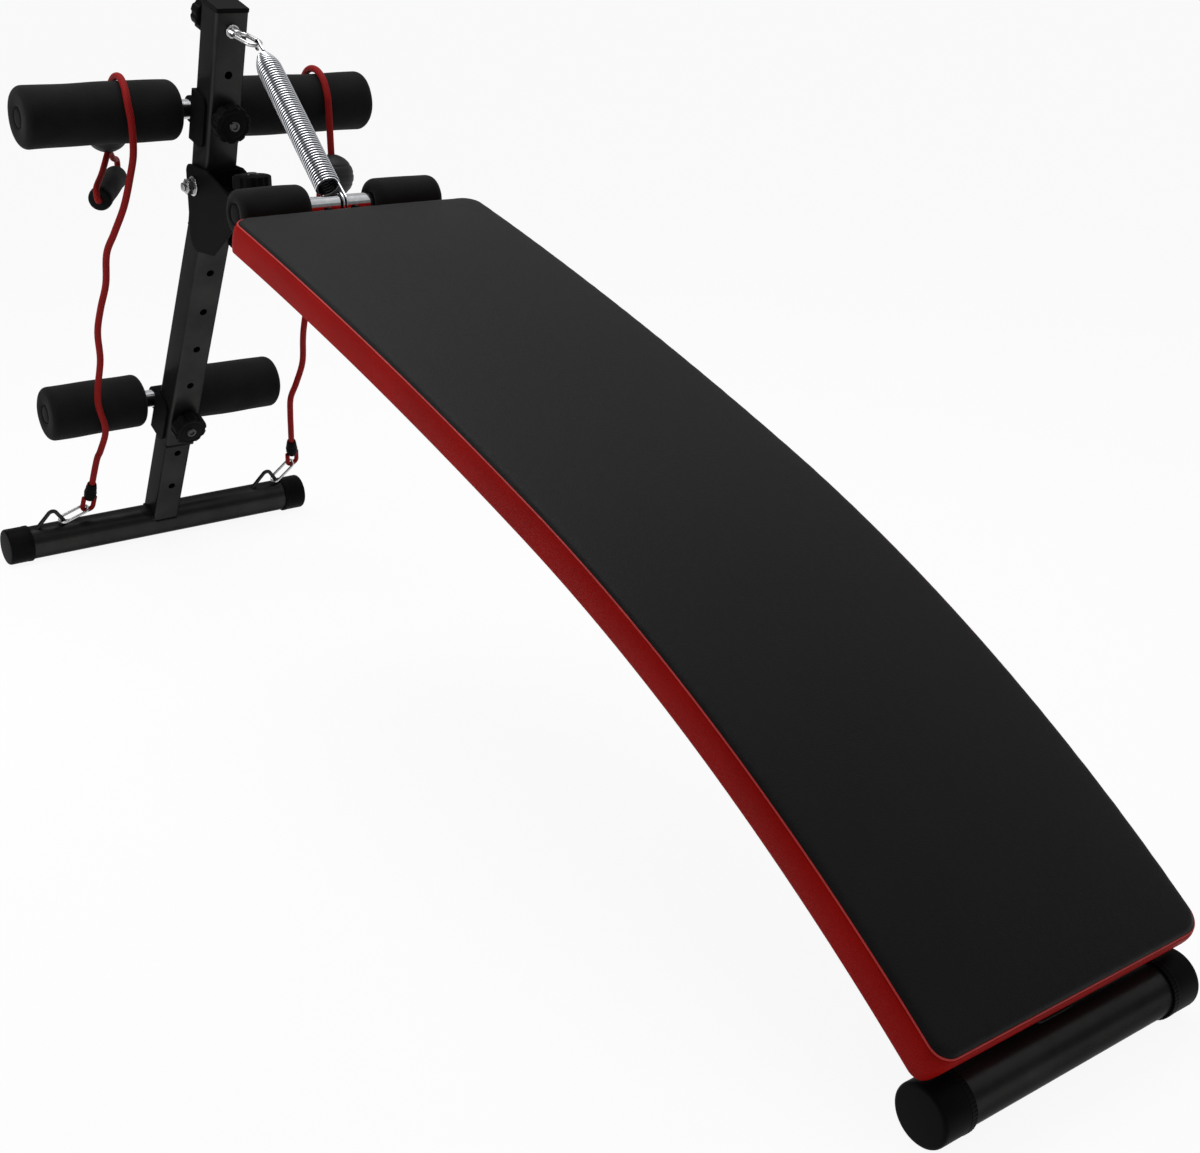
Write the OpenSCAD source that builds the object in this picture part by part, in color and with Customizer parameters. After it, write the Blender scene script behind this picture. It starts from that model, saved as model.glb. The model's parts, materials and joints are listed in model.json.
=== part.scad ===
// Decline sit-up bench: a bent post on a floor tube, a curved padded bench hinged to the post,
// foam leg rollers, a stretch spring and two elastic pull cords.
// Millimetres, +Z up, length along X with the post at -X and the low end at +X.

/* [Floor tubes] */
// Diameter of both floor tubes
floor_d = 42; // [40:0.5:44]
// Wall of the floor tubes
floor_wall = 2; // [1.5:0.5:3]
// Length of the floor tube under the post, over its caps
base_len = 412; // [396:2:440]
// Length of the floor tube at the low end, over its caps
low_len = 268; // [250:2:300]
// Length of each end cap along the tube
cap_len = 30; // [24:1:36]
// Wall of the end caps
cap_wall = 2; // [1.5:0.5:3]
// Height taken off the caps to make a flat sole
sole_cut = 1; // [0.5:0.5:1.5]

/* [Post] */
// Lean of the lower post from upright
post_lean = 29; // [27:0.5:31]
// Lean of the upper post from upright
head_lean = 18.5; // [17:0.5:20]
// Outside width of the square post tube
post_w = 38; // [36:0.5:40]
// Wall of the post tube
post_wall = 1.5; // [1.5:0.5:2]
// Play on each side between the post and the leg inside it
leg_play = 0.5; // [0.4:0.05:0.8]
// Wall of the leg
leg_wall = 2; // [1.5:0.5:2.5]
// Distance along the post from the floor tube's axis to the bend
bend_s = 464; // [455:1:475]
// Distance along the post to the lower end of the post tube
post_foot_s = 148; // [142:1:154]
// Length of the post above the bend, over its top cap
head_len = 263; // [260:1:275]
// Top end of the leg, along the post
leg_top_s = 330; // [320:1:340]
// Diameter of the adjusting holes
hole_d = 9; // [8.5:0.5:10]
// Distance along the post to the first leg hole
hole_s = 73.5; // [70:0.5:77]
// Pitch of the leg and lower post holes
hole_pitch = 57; // [54:0.5:60]
// Distance above the bend to the upper roller's bolt
head_hole_t = 141; // [138:1:144]
// Pitch of the upper post holes
head_pitch = 49; // [46:0.5:50]

/* [Rollers] */
// Diameter of the foam on the post rollers
foam_d = 68; // [62:1:72]
// Distance from the post's axis back to the roller tubes
roller_back = 45; // [44:0.5:48]
// Distance the roller axis sits below its bolt
roller_drop = 14; // [12:0.5:16]
// Diameter of the post roller tubes
roller_tube_d = 22; // [20:0.5:24]
// Reach of the upper rollers from the middle
upper_reach = 208; // [190:1:210]
// Reach of the lower rollers from the middle
lower_reach = 153; // [140:1:160]
// Distance from the middle to the inner end of the foam
foam_inner = 31; // [30:1:44]
// Diameter of the foam on the knee roller
knee_foam_d = 48; // [44:1:52]
// Diameter of the knee tube
knee_tube_d = 20; // [18:0.5:22]
// Reach of the knee roller from the middle
knee_reach = 113; // [100:1:120]
// Distance from the middle to the inner end of the knee foam
knee_inner = 37; // [33:1:42]
// Play between a roller's foam and its tube
foam_play = 0.3; // [0.3:0.05:0.5]

/* [Bench] */
// Width of the pad
pad_w = 276; // [260:2:290]
// Height of the cushion's side, from the board's underside to the top edge
cushion_h = 32; // [28:1:36]
// Extra height of the cushion along its middle
crown_h = 5; // [2:0.5:8]
// Thickness of the board under the cushion
board_t = 9; // [8:0.5:12]
// Plan radius of the cushion's corners
corner_r = 20; // [16:1:26]
// Play on each side between the post and the hinge plates
hinge_play = 1; // [0.5:0.1:1.5]
// Wall of the receiver welded between the hinge plates
receiver_wall = 2; // [1.5:0.5:2.5]
// Play on each side between the receiver and the bench tube
receiver_play = 0.5; // [0.4:0.05:0.8]
// Wall of the bench tube
frame_wall = 2; // [1.5:0.5:2.5]
// Distance from the hinge pin to the head of the pad
pad_x = 337.6; // [334:0.2:346]
// Height of the pad's head edge above the hinge pin
pad_z = 9; // [5:0.5:13]
// Height of the bench tube's middle above the low floor tube's axis, at the end of the pad
tail_rise = 8; // [7:0.1:12]
// Radius of the upper half of the pad
pad_r1 = 5470; // [5200:10:5800]
// Length of the upper half of the pad
pad_l1 = 505; // [500:1:510]
// Radius of the lower half of the pad
pad_r2 = 1624; // [1600:2:1650]
// Length of the lower half of the pad
pad_l2 = 513; // [508:1:518]
// Distance from the hinge pin to the knee tube
knee_x = 288.6; // [284:0.2:292]
// Height of the knee tube above the hinge pin
knee_z = 7; // [4:0.5:10]

/* [Spring] */
// Diameter of the spring wire
wire_d = 2.8; // [2.4:0.1:2.9]
// Mean radius of the spring's coils
coil_r = 12; // [11:0.5:14]
// Pitch of the coils when the spring is at rest
coil_pitch = 3.35; // [3.35:0.05:3.5]

/* [Cords] */
// Diameter of the pull cords
cord_d = 8; // [7:0.25:9]
// Diameter of the ball at the handle end of a cord
ball_d = 50; // [46:1:50]
// Diameter of a hand grip
grip_d = 27; // [24:1:30]
// Length of a hand grip
grip_len = 100; // [90:2:110]

/* [Hidden] */
$fn = 64;
// Overlap that keeps cuts clean, and the running gap between moving pieces
e = 0.01;
gap = 0.3;
foot_z = floor_d / 2 + cap_wall - sole_cut;

// Caps, plugs, nuts, washers and plate stock
cap_end = 4;
cap_bevel = 3;
cap_play = 0.1;
top_cap_t = 5;
top_cap_skirt = 10;
skirt_wall = 2;
bush_h = 4;
plug_head = 4;
plug_bevel = 1;
plug_depth = 10;
pipe_wall = 1.5;
plate_t = 3;
bolt_d = 8;
nut_d = 15;
nut_h = 6.5;
washer_t = 1.5;
washer_d = 22;

// Square tubes: leg in post, post between hinge plates, bench tube in receiver
leg_w = post_w - 2 * post_wall - 2 * leg_play;
hinge_in = post_w / 2 + hinge_play;
hinge_out = hinge_in + plate_t;
receiver_w = 2 * hinge_in;
receiver_inner = receiver_w - 2 * receiver_wall;
frame_w = receiver_inner - 2 * receiver_play;
leg_holes = 5;
holes_below = 2;
post_holes = 5;
lower_bolt_s = hole_s + holes_below * hole_pitch;
eye_t = head_hole_t + 2 * head_pitch;

// Bend of the post, and the hinge above it: runs are from the post's floor tube
pivot_t = 55;
pivot_d = 10;
pivot_hex = 18;
pivot_nut_h = 8;
bolt_end = 4;
bend_run = bend_s * sin(post_lean);
bend_z = foot_z + bend_s * cos(post_lean);
pivot_run = bend_run + pivot_t * sin(head_lean);
pivot_z = bend_z + pivot_t * cos(head_lean);

// Layers of the bench below the pad's top edge
strap_t = 3;
strap_play = 0.1;
board_in = 5;
pad_len = pad_l1 + pad_l2;
board_top = cushion_h - board_t;
strap_top = cushion_h;
frame_top = strap_top + strap_play + strap_t;
frame_mid = frame_top + frame_w / 2;

// Two arcs of the pad: angles are those of the radius, from +X
function ray(a) = [cos(a), sin(a)];
function arc_turn(length, r) = length / r * 180 / PI;
// The pad as if its head were level; the slope then brings its end down to the low tube
level1 = 90 - arc_turn(pad_l1, pad_r1);
level2 = level1 - arc_turn(pad_l2, pad_r2);
level_run = pad_r1 * (ray(level1) - ray(90)) + pad_r2 * (ray(level2) - ray(level1))
    - frame_mid * ray(level2);
head_z = pivot_z + pad_z;
pad_slope = asin((head_z - foot_z - tail_rise) / norm(level_run)) + atan2(level_run[1], level_run[0]);
a0 = 90 - pad_slope;
a1 = a0 - arc_turn(pad_l1, pad_r1);
a2 = a1 - arc_turn(pad_l2, pad_r2);

// The bench tube runs on straight past the pad to the low floor tube, which sets the length
low_ahead = 3.8;
tail_slope = 90 - a2;
tail_base = [pivot_run + pad_x, head_z] + pad_r1 * (ray(a1) - ray(a0)) + pad_r2 * (ray(a2) - ray(a1))
    - frame_mid * ray(a2);
tail_len = (tail_base[1] - foot_z) / sin(tail_slope);
span = tail_base[0] + tail_len * cos(tail_slope) + low_ahead;
foot_x = -span / 2;
low_x = span / 2;

// Bend of the post and the hinge above it, in place
bend_x = foot_x + bend_run;
pivot_x = foot_x + pivot_run;
stop_t = [6, 27];
// Corners of a hinge plate from its pin, and the radii at the top and the back
hinge_top = [-8, 14];
hinge_brow = [34, 20];
hinge_nose = [90, 18];
hinge_chin = [36, -74];
hinge_back = [-2, -56];
hinge_r = [10, 18];

// Arcs and bench tube in place: level at the receiver, one bend, then along the pad
level_drop = 22;
bend_r = 100;
head = [pivot_x + pad_x, head_z];
c1 = head - pad_r1 * ray(a0);
c2 = c1 + (pad_r1 - pad_r2) * ray(a1);
frame_head = c1 + (pad_r1 - frame_mid) * ray(a0);
frame_tail = c2 + (pad_r2 - frame_mid) * ray(a2);
level_z = pivot_z - level_drop;
run_in = (level_z - frame_head[1]) / sin(pad_slope);
vertex = frame_head + run_in * [-cos(pad_slope), sin(pad_slope)];
bend_tan = bend_r * tan(pad_slope / 2);
receiver_x0 = pivot_x + 56;
receiver_len = 120;
frame_x0 = receiver_x0 + 8;
frame_knob_x = receiver_x0 + 44.6;
knee_pt = [pivot_x + knee_x, pivot_z + knee_z];
cradle_t = 4;
cradle_half = 15;
cradle_drop = 40;

// Straps across the bench tube and the screws that hold the board
strap_at = [60, 380, 690, pad_len - 30];
strap_half = 20;
strap_w = 180;
screw_y = 70;
screw_d = 6;
screw_hole_d = 6.5;
screw_head_d = 11;
screw_head_h = 4.5;
screw_bite = 6;

// Knobs: hub, scalloped head, insert
knob_d = 42;
knob_h = 16;
knob_hub_d = 24;
knob_hub_h = 6;
knob_bevel = 2;
knob_top = knob_hub_h + knob_h;
scallops = 10;
scallop_d = 9;
insert_d = 13;
insert_h = 2;

// Roller brackets
bracket_h = 58;
bracket_r = 10;
bracket_side = 12;
sleeve_wall = 4;
sleeve_w = 24;
stud_tail = 9;
stud_back = -post_w / 2 - plate_t - stud_tail;
foam_r = 7;

// Eye bolt
eye_wire = 5;
eye_r = 8;
eye_neck = 16;
eye_tip = 62;
eye_turn = 13;
collar_d = 15;
collar_h = 3;
neck_d = [12, 9];
neck_h = 12;
eye_shank = 24;

// Wire arches on the floor tube, with links pulled against the inside of one leg
anchor_in = [59, 53];
anchor_y = [anchor_in[0] - base_len / 2, base_len / 2 - anchor_in[1]];
anchor_lean = 20;
anchor_rise = 22;
anchor_r = 6;
anchor_leg = 54;
anchor_wire = 5;
anchor_sunk = 5;
// The wire swells a little where its bend begins
bend_swell = 0.4;
crown_z = floor_d / 2 + anchor_rise - anchor_r;
leg_rise = anchor_rise - anchor_r * (1 - cos(anchor_leg));
leg_foot_y = anchor_r * sin(anchor_leg) + leg_rise / tan(anchor_leg);
link_r = 7;
link_wire = 3.5;
link_len = 39;
link_rise = 7;
link_tilt = [22, 46];
link_off = anchor_wire / 2 + link_wire / 2 + gap;
link_y = leg_foot_y - link_rise / tan(anchor_leg) - link_off * sin(anchor_leg);
link_z = floor_d / 2 + link_rise - link_off * cos(anchor_leg);

// Spring ends: hook in the eye, loops around the knee tube
eye_base = post_w / 2 + collar_h / 2;
eye_reach = eye_tip - eye_base;
eye_out = eye_base + eye_reach * cos(eye_turn);
tip = [bend_x + eye_t * sin(head_lean) + eye_out * cos(head_lean), eye_reach * sin(eye_turn),
    bend_z + eye_t * cos(head_lean) - eye_out * sin(head_lean)];
to_knee = [knee_pt[0], 0, knee_pt[1]] - tip;
reach_u = norm(to_knee);
axis_u = to_knee / reach_u;
axis_v = [-axis_u[2], 0, axis_u[0]] / norm([axis_u[0], axis_u[2]]);
axis_w = cross(axis_u, axis_v) * -1;
hook_play = 0.7;
loop_play = 0.5;
hook_r = eye_wire / 2 + wire_d / 2 + hook_play;
loop_r = knee_tube_d / 2 + wire_d / 2 + loop_play;
taper_u = 13;
taper_turns = 4;
lead_u = 13;
loop_y = 6;
loop_step = 6.6;
coil_end = reach_u - loop_r - lead_u;
coil_turns = floor((coil_end - taper_u) / coil_pitch);
coil_start = coil_end - coil_turns * coil_pitch;

// Cord routes, x from the post's floor tube: floor end, up to the upper roller
left_mid = [[54, -97, 131], [59, -93, 143], [78, -91, 173.5], [92, -102, 207.5], [104, -105, 234],
    [123, -106, 271], [142, -113, 308], [156, -112, 338], [172, -109, 369], [191, -112, 406],
    [204, -106, 430], [220, -98, 461], [238, -95, 495], [253, -95, 522]];
right_mid = [[49, 176, 125], [62, 170, 150], [74, 166, 175], [85, 170, 197], [100, 173, 227],
    [117, 167, 261], [129, 164, 284], [146, 165, 330], [160, 170, 385], [170, 173, 440],
    [177, 171, 480], [181, 163, 522]];
// Stretch over the upper roller: angle around its axis, and y
left_over = [[-14, -97], [16, -99], [46, -97], [76, -94], [106, -92], [132, -91], [150, -90]];
right_over = [[186, 157], [164, 152], [134, 148], [104, 146], [74, 145], [44, 144], [14, 143], [-4, 143]];
cord_play = 0.5;
wrap_r = foam_d / 2 + cord_d / 2 + cord_play;
upper_axis = [bend_x, bend_z] + (head_hole_t - roller_drop) * [sin(head_lean), cos(head_lean)]
    - roller_back * [cos(head_lean), -sin(head_lean)];
left_hang = [-56, -89, -22.5];
right_hang = [0.5, 143, -81];
left_ball = [upper_axis[0], 0, upper_axis[1]] + left_hang;
left_ball_up = [22, 0, 41];
right_ball = [upper_axis[0] + wrap_r, 0, upper_axis[1]] + right_hang;
// Cord ends bite this far into a ball
bite = 0.5;
loop_cord = cord_d - 2;
loop_in = 7;
loop_len = 13;
loop_seat = loop_in - loop_cord / 2 - link_wire / 2 - gap;
sleeve_d = [13, 16, 12];
sleeve_flare = 10;
sleeve_len = 26;
handle_cord_d = cord_d - 1;
left_grip_at = [166, -93, 476];
right_drop = [0, 0, 63];
left_grip = [foot_x, 0, 0] + left_grip_at;
right_grip = right_ball - right_drop;
left_dir = [-0.82, 0.55, 0.15];
right_dir = [-0.8, 0.6, 0];
grip_bevel = 4;

// Frames
module at_post(s) {
    translate([foot_x, 0, foot_z])
        rotate([0, post_lean, 0])
            translate([0, 0, s])
                children();
}

module at_head(t) {
    at_post(bend_s)
        rotate([0, head_lean - post_lean, 0])
            translate([0, 0, t])
                children();
}

// Turn the local z axis into the frame's forward axis
module forward() {
    rotate([0, 90, 0])
        children();
}

module along_y() {
    rotate([-90, 0, 0])
        children();
}

module block(x, y, z) {
    translate([x[0], y[0], z[0]])
        cube([x[1] - x[0], y[1] - y[0], z[1] - z[0]]);
}

// A 2D profile swept along a pad arc, x outward from the arc's centre
module arc_sweep(c, r, from, to) {
    translate([c[0], 0, c[1]])
        rotate([90, 0, 0])
            rotate([0, 0, to])
                rotate_extrude(angle = from - to)
                    translate([r, 0])
                        children();
}

// A flat-sided bar w wide between two lines of a side view
module band(upper, lower, w) {
    rotate([90, 0, 0])
        linear_extrude(w, center = true)
            polygon(concat(upper, [for (i = [len(lower) - 1 : -1 : 0]) lower[i]]));
}

// Curves: smooth route through points, frames carried along it, tube around it
function unit(v) = v / norm(v);
function spline(p, n) = [
    for (i = [0 : len(p) - 2])
        let (a = p[max(i - 1, 0)], b = p[i], c = p[i + 1], d = p[min(i + 2, len(p) - 1)])
            for (k = [0 : n - 1])
                let (t = k / n)
                    0.5 * (2 * b + (c - a) * t + (2 * a - 5 * b + 4 * c - d) * t * t
                        + (3 * b - a - 3 * c + d) * t * t * t),
    p[len(p) - 1]];
function tangent(p, i) = unit(p[min(i + 1, len(p) - 1)] - p[max(i - 1, 0)]);
function normals(p, n0) = [
    for (i = 0, n = unit(n0 - (n0 * tangent(p, 0)) * tangent(p, 0)); i < len(p);
        i = i + 1, n = i < len(p) ? unit(n - (n * tangent(p, i)) * tangent(p, i)) : n) n];
function rings(p, n, r, sides) = [
    for (i = [0 : len(p) - 1])
        let (b = cross(tangent(p, i), n[i]))
            for (k = [0 : sides - 1])
                p[i] + r * (cos(360 * k / sides) * n[i] + sin(360 * k / sides) * b)];
function tube_faces(count, sides) = concat(
    [[for (k = [sides - 1 : -1 : 0]) sides - 1 - k]],
    [for (i = [0 : count - 2]) for (k = [0 : sides - 1])
        [i * sides + k, (i + 1) * sides + k, (i + 1) * sides + (k + 1) % sides]],
    [for (i = [0 : count - 2]) for (k = [0 : sides - 1])
        [i * sides + k, (i + 1) * sides + (k + 1) % sides, i * sides + (k + 1) % sides]],
    [[for (k = [0 : sides - 1]) (count - 1) * sides + sides - 1 - k]]);

module tube(p, n0, r, sides) {
    polyhedron(points = rings(p, normals(p, n0), r, sides), faces = tube_faces(len(p), sides));
}

// Floor tubes and caps
module floor_tube(x, length) {
    translate([x, 0, foot_z])
        rotate([90, 0, 0])
            difference() {
                cylinder(d = floor_d, h = length - 2 * cap_end, center = true);
                cylinder(d = floor_d - 2 * floor_wall, h = length, center = true);
            }
}

module floor_cap(x, reach, side) {
    outer = floor_d + 2 * cap_wall;
    difference() {
        translate([x, side * (reach - cap_len), foot_z])
            rotate([-90 * side, 0, 0])
                difference() {
                    union() {
                        cylinder(d = outer, h = cap_len - cap_bevel);
                        translate([0, 0, cap_len - cap_bevel])
                            cylinder(d1 = outer, d2 = outer - 2 * cap_bevel, h = cap_bevel);
                    }
                    translate([0, 0, -e])
                        cylinder(d = floor_d + 2 * cap_play, h = cap_len - cap_end + e);
                }
        block([x - outer, x + outer], [-reach - 1, reach + 1], [-outer, 0]);
    }
}

module base_tube() {
    color("dimgray")
        floor_tube(foot_x, base_len);
}

module base_cap_left() {
    color("black")
        floor_cap(foot_x, base_len / 2, -1);
}

module base_cap_right() {
    color("black")
        floor_cap(foot_x, base_len / 2, 1);
}

module low_tube() {
    color("dimgray")
        floor_tube(low_x, low_len);
}

module low_cap_left() {
    color("black")
        floor_cap(low_x, low_len / 2, -1);
}

module low_cap_right() {
    color("black")
        floor_cap(low_x, low_len / 2, 1);
}

// Cord anchors: wire arches welded on the floor tube, leaning to the bench, left (0) and right (1)
module at_anchor(side) {
    translate([foot_x, anchor_y[side], foot_z])
        rotate([0, anchor_lean, 0])
            children();
}

module rope_anchor(side) {
    difference() {
        at_anchor(side)
            translate([0, 0, crown_z]) {
                rotate([90, 0, 90])
                    rotate([0, 0, 90 - anchor_leg])
                        rotate_extrude(angle = 2 * anchor_leg)
                            translate([anchor_r, 0])
                                circle(d = anchor_wire);
                for (way = [-1, 1])
                    translate([0, way * anchor_r * sin(anchor_leg), anchor_r * cos(anchor_leg)]) {
                        rotate([-way * (90 + anchor_leg), 0, 0])
                            cylinder(d = anchor_wire, h = leg_rise / sin(anchor_leg) + anchor_sunk);
                        sphere(d = anchor_wire + bend_swell);
                    }
            }
        translate([foot_x, 0, foot_z])
            rotate([90, 0, 0])
                cylinder(d = floor_d, h = base_len, center = true);
    }
}

module rope_anchor_left() {
    color("dimgray")
        rope_anchor(0);
}

module rope_anchor_right() {
    color("dimgray")
        rope_anchor(1);
}

// Wire link through an arch, its far end lifted by the cord
module link(side) {
    straight = link_len - 2 * link_r;
    at_anchor(side)
        translate([0, link_y, link_z])
            rotate([link_tilt[side], 0, 0])
                translate([0, link_r, 0]) {
                    rotate([0, 0, 180])
                        link_end();
                    translate([0, straight, 0])
                        link_end();
                    for (x = [-link_r, link_r])
                        translate([x, 0, 0])
                            along_y()
                                cylinder(d = link_wire, h = straight);
                }
}

module link_end() {
    rotate_extrude(angle = 180)
        translate([link_r, 0])
            circle(d = link_wire);
}

module link_left() {
    color("silver")
        link(0);
}

module link_right() {
    color("silver")
        link(1);
}

// Leg and post
module leg_tube() {
    color("dimgray")
        difference() {
            at_post(0)
                difference() {
                    block([-leg_w / 2, leg_w / 2], [-leg_w / 2, leg_w / 2], [0, leg_top_s]);
                    block([-leg_w / 2 + leg_wall, leg_w / 2 - leg_wall],
                        [-leg_w / 2 + leg_wall, leg_w / 2 - leg_wall], [-1, leg_top_s + 1]);
                    for (k = [0 : leg_holes - 1])
                        translate([-leg_w, 0, hole_s + k * hole_pitch])
                            forward()
                                cylinder(d = hole_d, h = 2 * leg_w);
                }
            translate([foot_x, 0, foot_z])
                rotate([90, 0, 0])
                    cylinder(d = floor_d, h = 2 * floor_d, center = true);
        }
}

// Side view of the post: along a run's lean, across it, and a line h in front of its middle,
// mitred at the bend and longer by over at each end
function up_run(lean) = [sin(lean), cos(lean)];
function across_run(lean) = [cos(lean), -sin(lean)];
function post_line(h, over) = [
    [foot_x, foot_z] + (post_foot_s - over) * up_run(post_lean) + h * across_run(post_lean),
    [bend_x, bend_z] + h / cos((post_lean - head_lean) / 2) * across_run((post_lean + head_lean) / 2),
    [bend_x, bend_z] + (head_len - top_cap_t + over) * up_run(head_lean) + h * across_run(head_lean)];
module post_bar(w, over) {
    band(post_line(-w / 2, over), post_line(w / 2, over), w);
}

module post_hole() {
    translate([-post_w, 0, 0])
        forward()
            cylinder(d = hole_d, h = 2 * post_w);
}

module post_tube() {
    color("dimgray")
        difference() {
            post_bar(post_w, 0);
            post_bar(post_w - 2 * post_wall, 1);
            for (k = [holes_below : holes_below + post_holes - 1])
                at_post(hole_s + k * hole_pitch)
                    post_hole();
            for (t = [head_hole_t, head_hole_t + head_pitch, eye_t])
                at_head(t)
                    post_hole();
            at_head(pivot_t)
                rotate([90, 0, 0])
                    cylinder(d = pivot_d, h = 2 * post_w, center = true);
        }
}

module post_bush() {
    color("black")
        at_post(post_foot_s - bush_h)
            difference() {
                block([-post_w / 2, post_w / 2], [-post_w / 2, post_w / 2], [0, bush_h]);
                block([-leg_w / 2, leg_w / 2], [-leg_w / 2, leg_w / 2], [-1, bush_h + 1]);
            }
}

module post_top_cap() {
    inner = post_w / 2 - post_wall;
    open = inner - skirt_wall;
    color("black")
        at_head(head_len - top_cap_t) {
            block([-post_w / 2, post_w / 2], [-post_w / 2, post_w / 2], [0, top_cap_t]);
            difference() {
                block([-inner, inner], [-inner, inner], [-top_cap_skirt, e]);
                block([-open, open], [-open, open], [-top_cap_skirt - 1, -1]);
            }
        }
}

// Eye bolt: shank through the post, collar on its face, long eye for the spring hook
module eye_half(turn) {
    rotate([90, 0, 90])
        rotate_extrude(angle = turn)
            translate([eye_r, 0])
                circle(d = eye_wire);
}

module eye_bolt() {
    color("silver")
        at_head(eye_t)
            forward() {
                translate([0, 0, -post_w / 2 - eye_shank])
                    cylinder(d = bolt_d, h = post_w + eye_shank);
                translate([0, 0, post_w / 2])
                    cylinder(d = collar_d, h = collar_h);
                translate([0, 0, eye_base])
                    rotate([-eye_turn, 0, 0]) {
                        cylinder(d1 = neck_d[0], d2 = neck_d[1], h = neck_h);
                        translate([0, 0, eye_neck])
                            eye_half(-180);
                        for (y = [-eye_r, eye_r])
                            translate([0, y, eye_neck])
                                cylinder(d = eye_wire, h = eye_reach - eye_r - eye_neck);
                        translate([0, 0, eye_reach - eye_r])
                            eye_half(180);
                    }
            }
}

// Round knobs with scalloped rims, standing on local z
module knob_shape(bore) {
    difference() {
        union() {
            cylinder(d = knob_hub_d, h = knob_hub_h + 1);
            translate([0, 0, knob_hub_h])
                cylinder(d = knob_d, h = knob_h - knob_bevel);
            translate([0, 0, knob_top - knob_bevel])
                cylinder(d1 = knob_d, d2 = knob_d - 2 * knob_bevel, h = knob_bevel);
        }
        for (k = [0 : scallops - 1])
            rotate([0, 0, 360 * k / scallops])
                translate([knob_d / 2 + scallop_d / 3, 0, knob_hub_h - 1])
                    cylinder(d = scallop_d, h = knob_h + 2, $fn = 32);
        translate([0, 0, -1])
            cylinder(d = bore, h = knob_top + 2);
    }
}

// Stud from below a knob's seat, ending in the insert set in the knob's face
module knob_stud(below) {
    translate([0, 0, -below])
        cylinder(d = bolt_d, h = below + knob_top + bite);
    translate([0, 0, knob_top])
        cylinder(d1 = insert_d, d2 = insert_d - insert_h, h = insert_h);
}

module eye_knob() {
    color("black")
        at_head(eye_t)
            translate([-post_w / 2 - gap, 0, 0])
                rotate([0, -90, 0])
                    knob_shape(bolt_d + 2 * gap);
}

// Knob on a stud that runs through the post into the bracket's nut
module front_knob() {
    translate([post_w / 2 + gap, 0, 0])
        forward()
            knob_shape(bolt_d);
}

module front_stud() {
    translate([post_w / 2 + gap, 0, 0])
        forward()
            knob_stud(post_w / 2 + gap - stud_back);
}

module upper_knob() {
    color("black")
        at_head(head_hole_t)
            front_knob();
}

module upper_stud() {
    color("silver")
        at_head(head_hole_t)
            front_stud();
}

module lower_knob() {
    color("black")
        at_post(lower_bolt_s)
            front_knob();
}

module lower_stud() {
    color("silver")
        at_post(lower_bolt_s)
            front_stud();
}

// Roller bracket: channel around the post's back with a sleeve for the roller tube
module roller_bracket() {
    in_w = post_w / 2 + gap;
    back = -post_w / 2 - plate_t;
    z0 = -roller_drop - bracket_h / 2 + bracket_r / 2;
    z1 = z0 + bracket_h;
    round_x = bracket_side - bracket_r;
    difference() {
        union() {
            block([back, -post_w / 2], [-in_w - plate_t, in_w + plate_t], [z0, z1]);
            for (side = [-1, 1])
                translate([0, side * (in_w + plate_t / 2), 0]) {
                    block([-post_w / 2, round_x], [-plate_t / 2, plate_t / 2], [z0, z1]);
                    block([round_x - 1, bracket_side], [-plate_t / 2, plate_t / 2],
                        [z0 + bracket_r, z1 - bracket_r]);
                    for (z = [z0 + bracket_r, z1 - bracket_r])
                        translate([round_x, 0, z])
                            rotate([90, 0, 0])
                                cylinder(r = bracket_r, h = plate_t, center = true);
                }
            translate([-roller_back, 0, -roller_drop])
                rotate([90, 0, 0])
                    cylinder(d = roller_tube_d + 2 * sleeve_wall, h = sleeve_w, center = true);
            block([-roller_back, back + e], [-sleeve_w / 2, sleeve_w / 2],
                [-roller_drop - roller_tube_d / 2, -roller_drop + sleeve_wall]);
        }
        translate([-roller_back, 0, -roller_drop])
            rotate([90, 0, 0])
                cylinder(d = roller_tube_d, h = 2 * sleeve_w, center = true);
        translate([back - nut_h, 0, 0])
            forward()
                cylinder(d = hole_d, h = nut_h + 2 * plate_t);
    }
}

// Nut standing on local z
module nut() {
    difference() {
        cylinder(d = nut_d, h = nut_h, $fn = 6);
        translate([0, 0, -1])
            cylinder(d = bolt_d + 2 * gap, h = nut_h + 2);
    }
}

module upper_bracket() {
    color("black")
        at_head(head_hole_t)
            roller_bracket();
}

module lower_bracket() {
    color("black")
        at_post(lower_bolt_s)
            roller_bracket();
}

module weld_nut() {
    translate([-post_w / 2 - plate_t - nut_h, 0, 0])
        forward()
            nut();
}

module bracket_nuts() {
    color("silver") {
        at_head(head_hole_t)
            weld_nut();
        at_post(lower_bolt_s)
            weld_nut();
    }
}

module at_upper_roller() {
    at_head(head_hole_t)
        translate([-roller_back, 0, -roller_drop])
            children();
}

module at_lower_roller() {
    at_post(lower_bolt_s)
        translate([-roller_back, 0, -roller_drop])
            children();
}

module pipe(d, reach) {
    rotate([90, 0, 0])
        difference() {
            cylinder(d = d, h = 2 * reach, center = true);
            cylinder(d = d - 2 * pipe_wall, h = 2 * reach + 2, center = true);
        }
}

module upper_roller_tube() {
    color("silver")
        at_upper_roller()
            pipe(roller_tube_d, upper_reach - plug_head);
}

module lower_roller_tube() {
    color("silver")
        at_lower_roller()
            pipe(roller_tube_d, lower_reach - plug_head);
}

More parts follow.
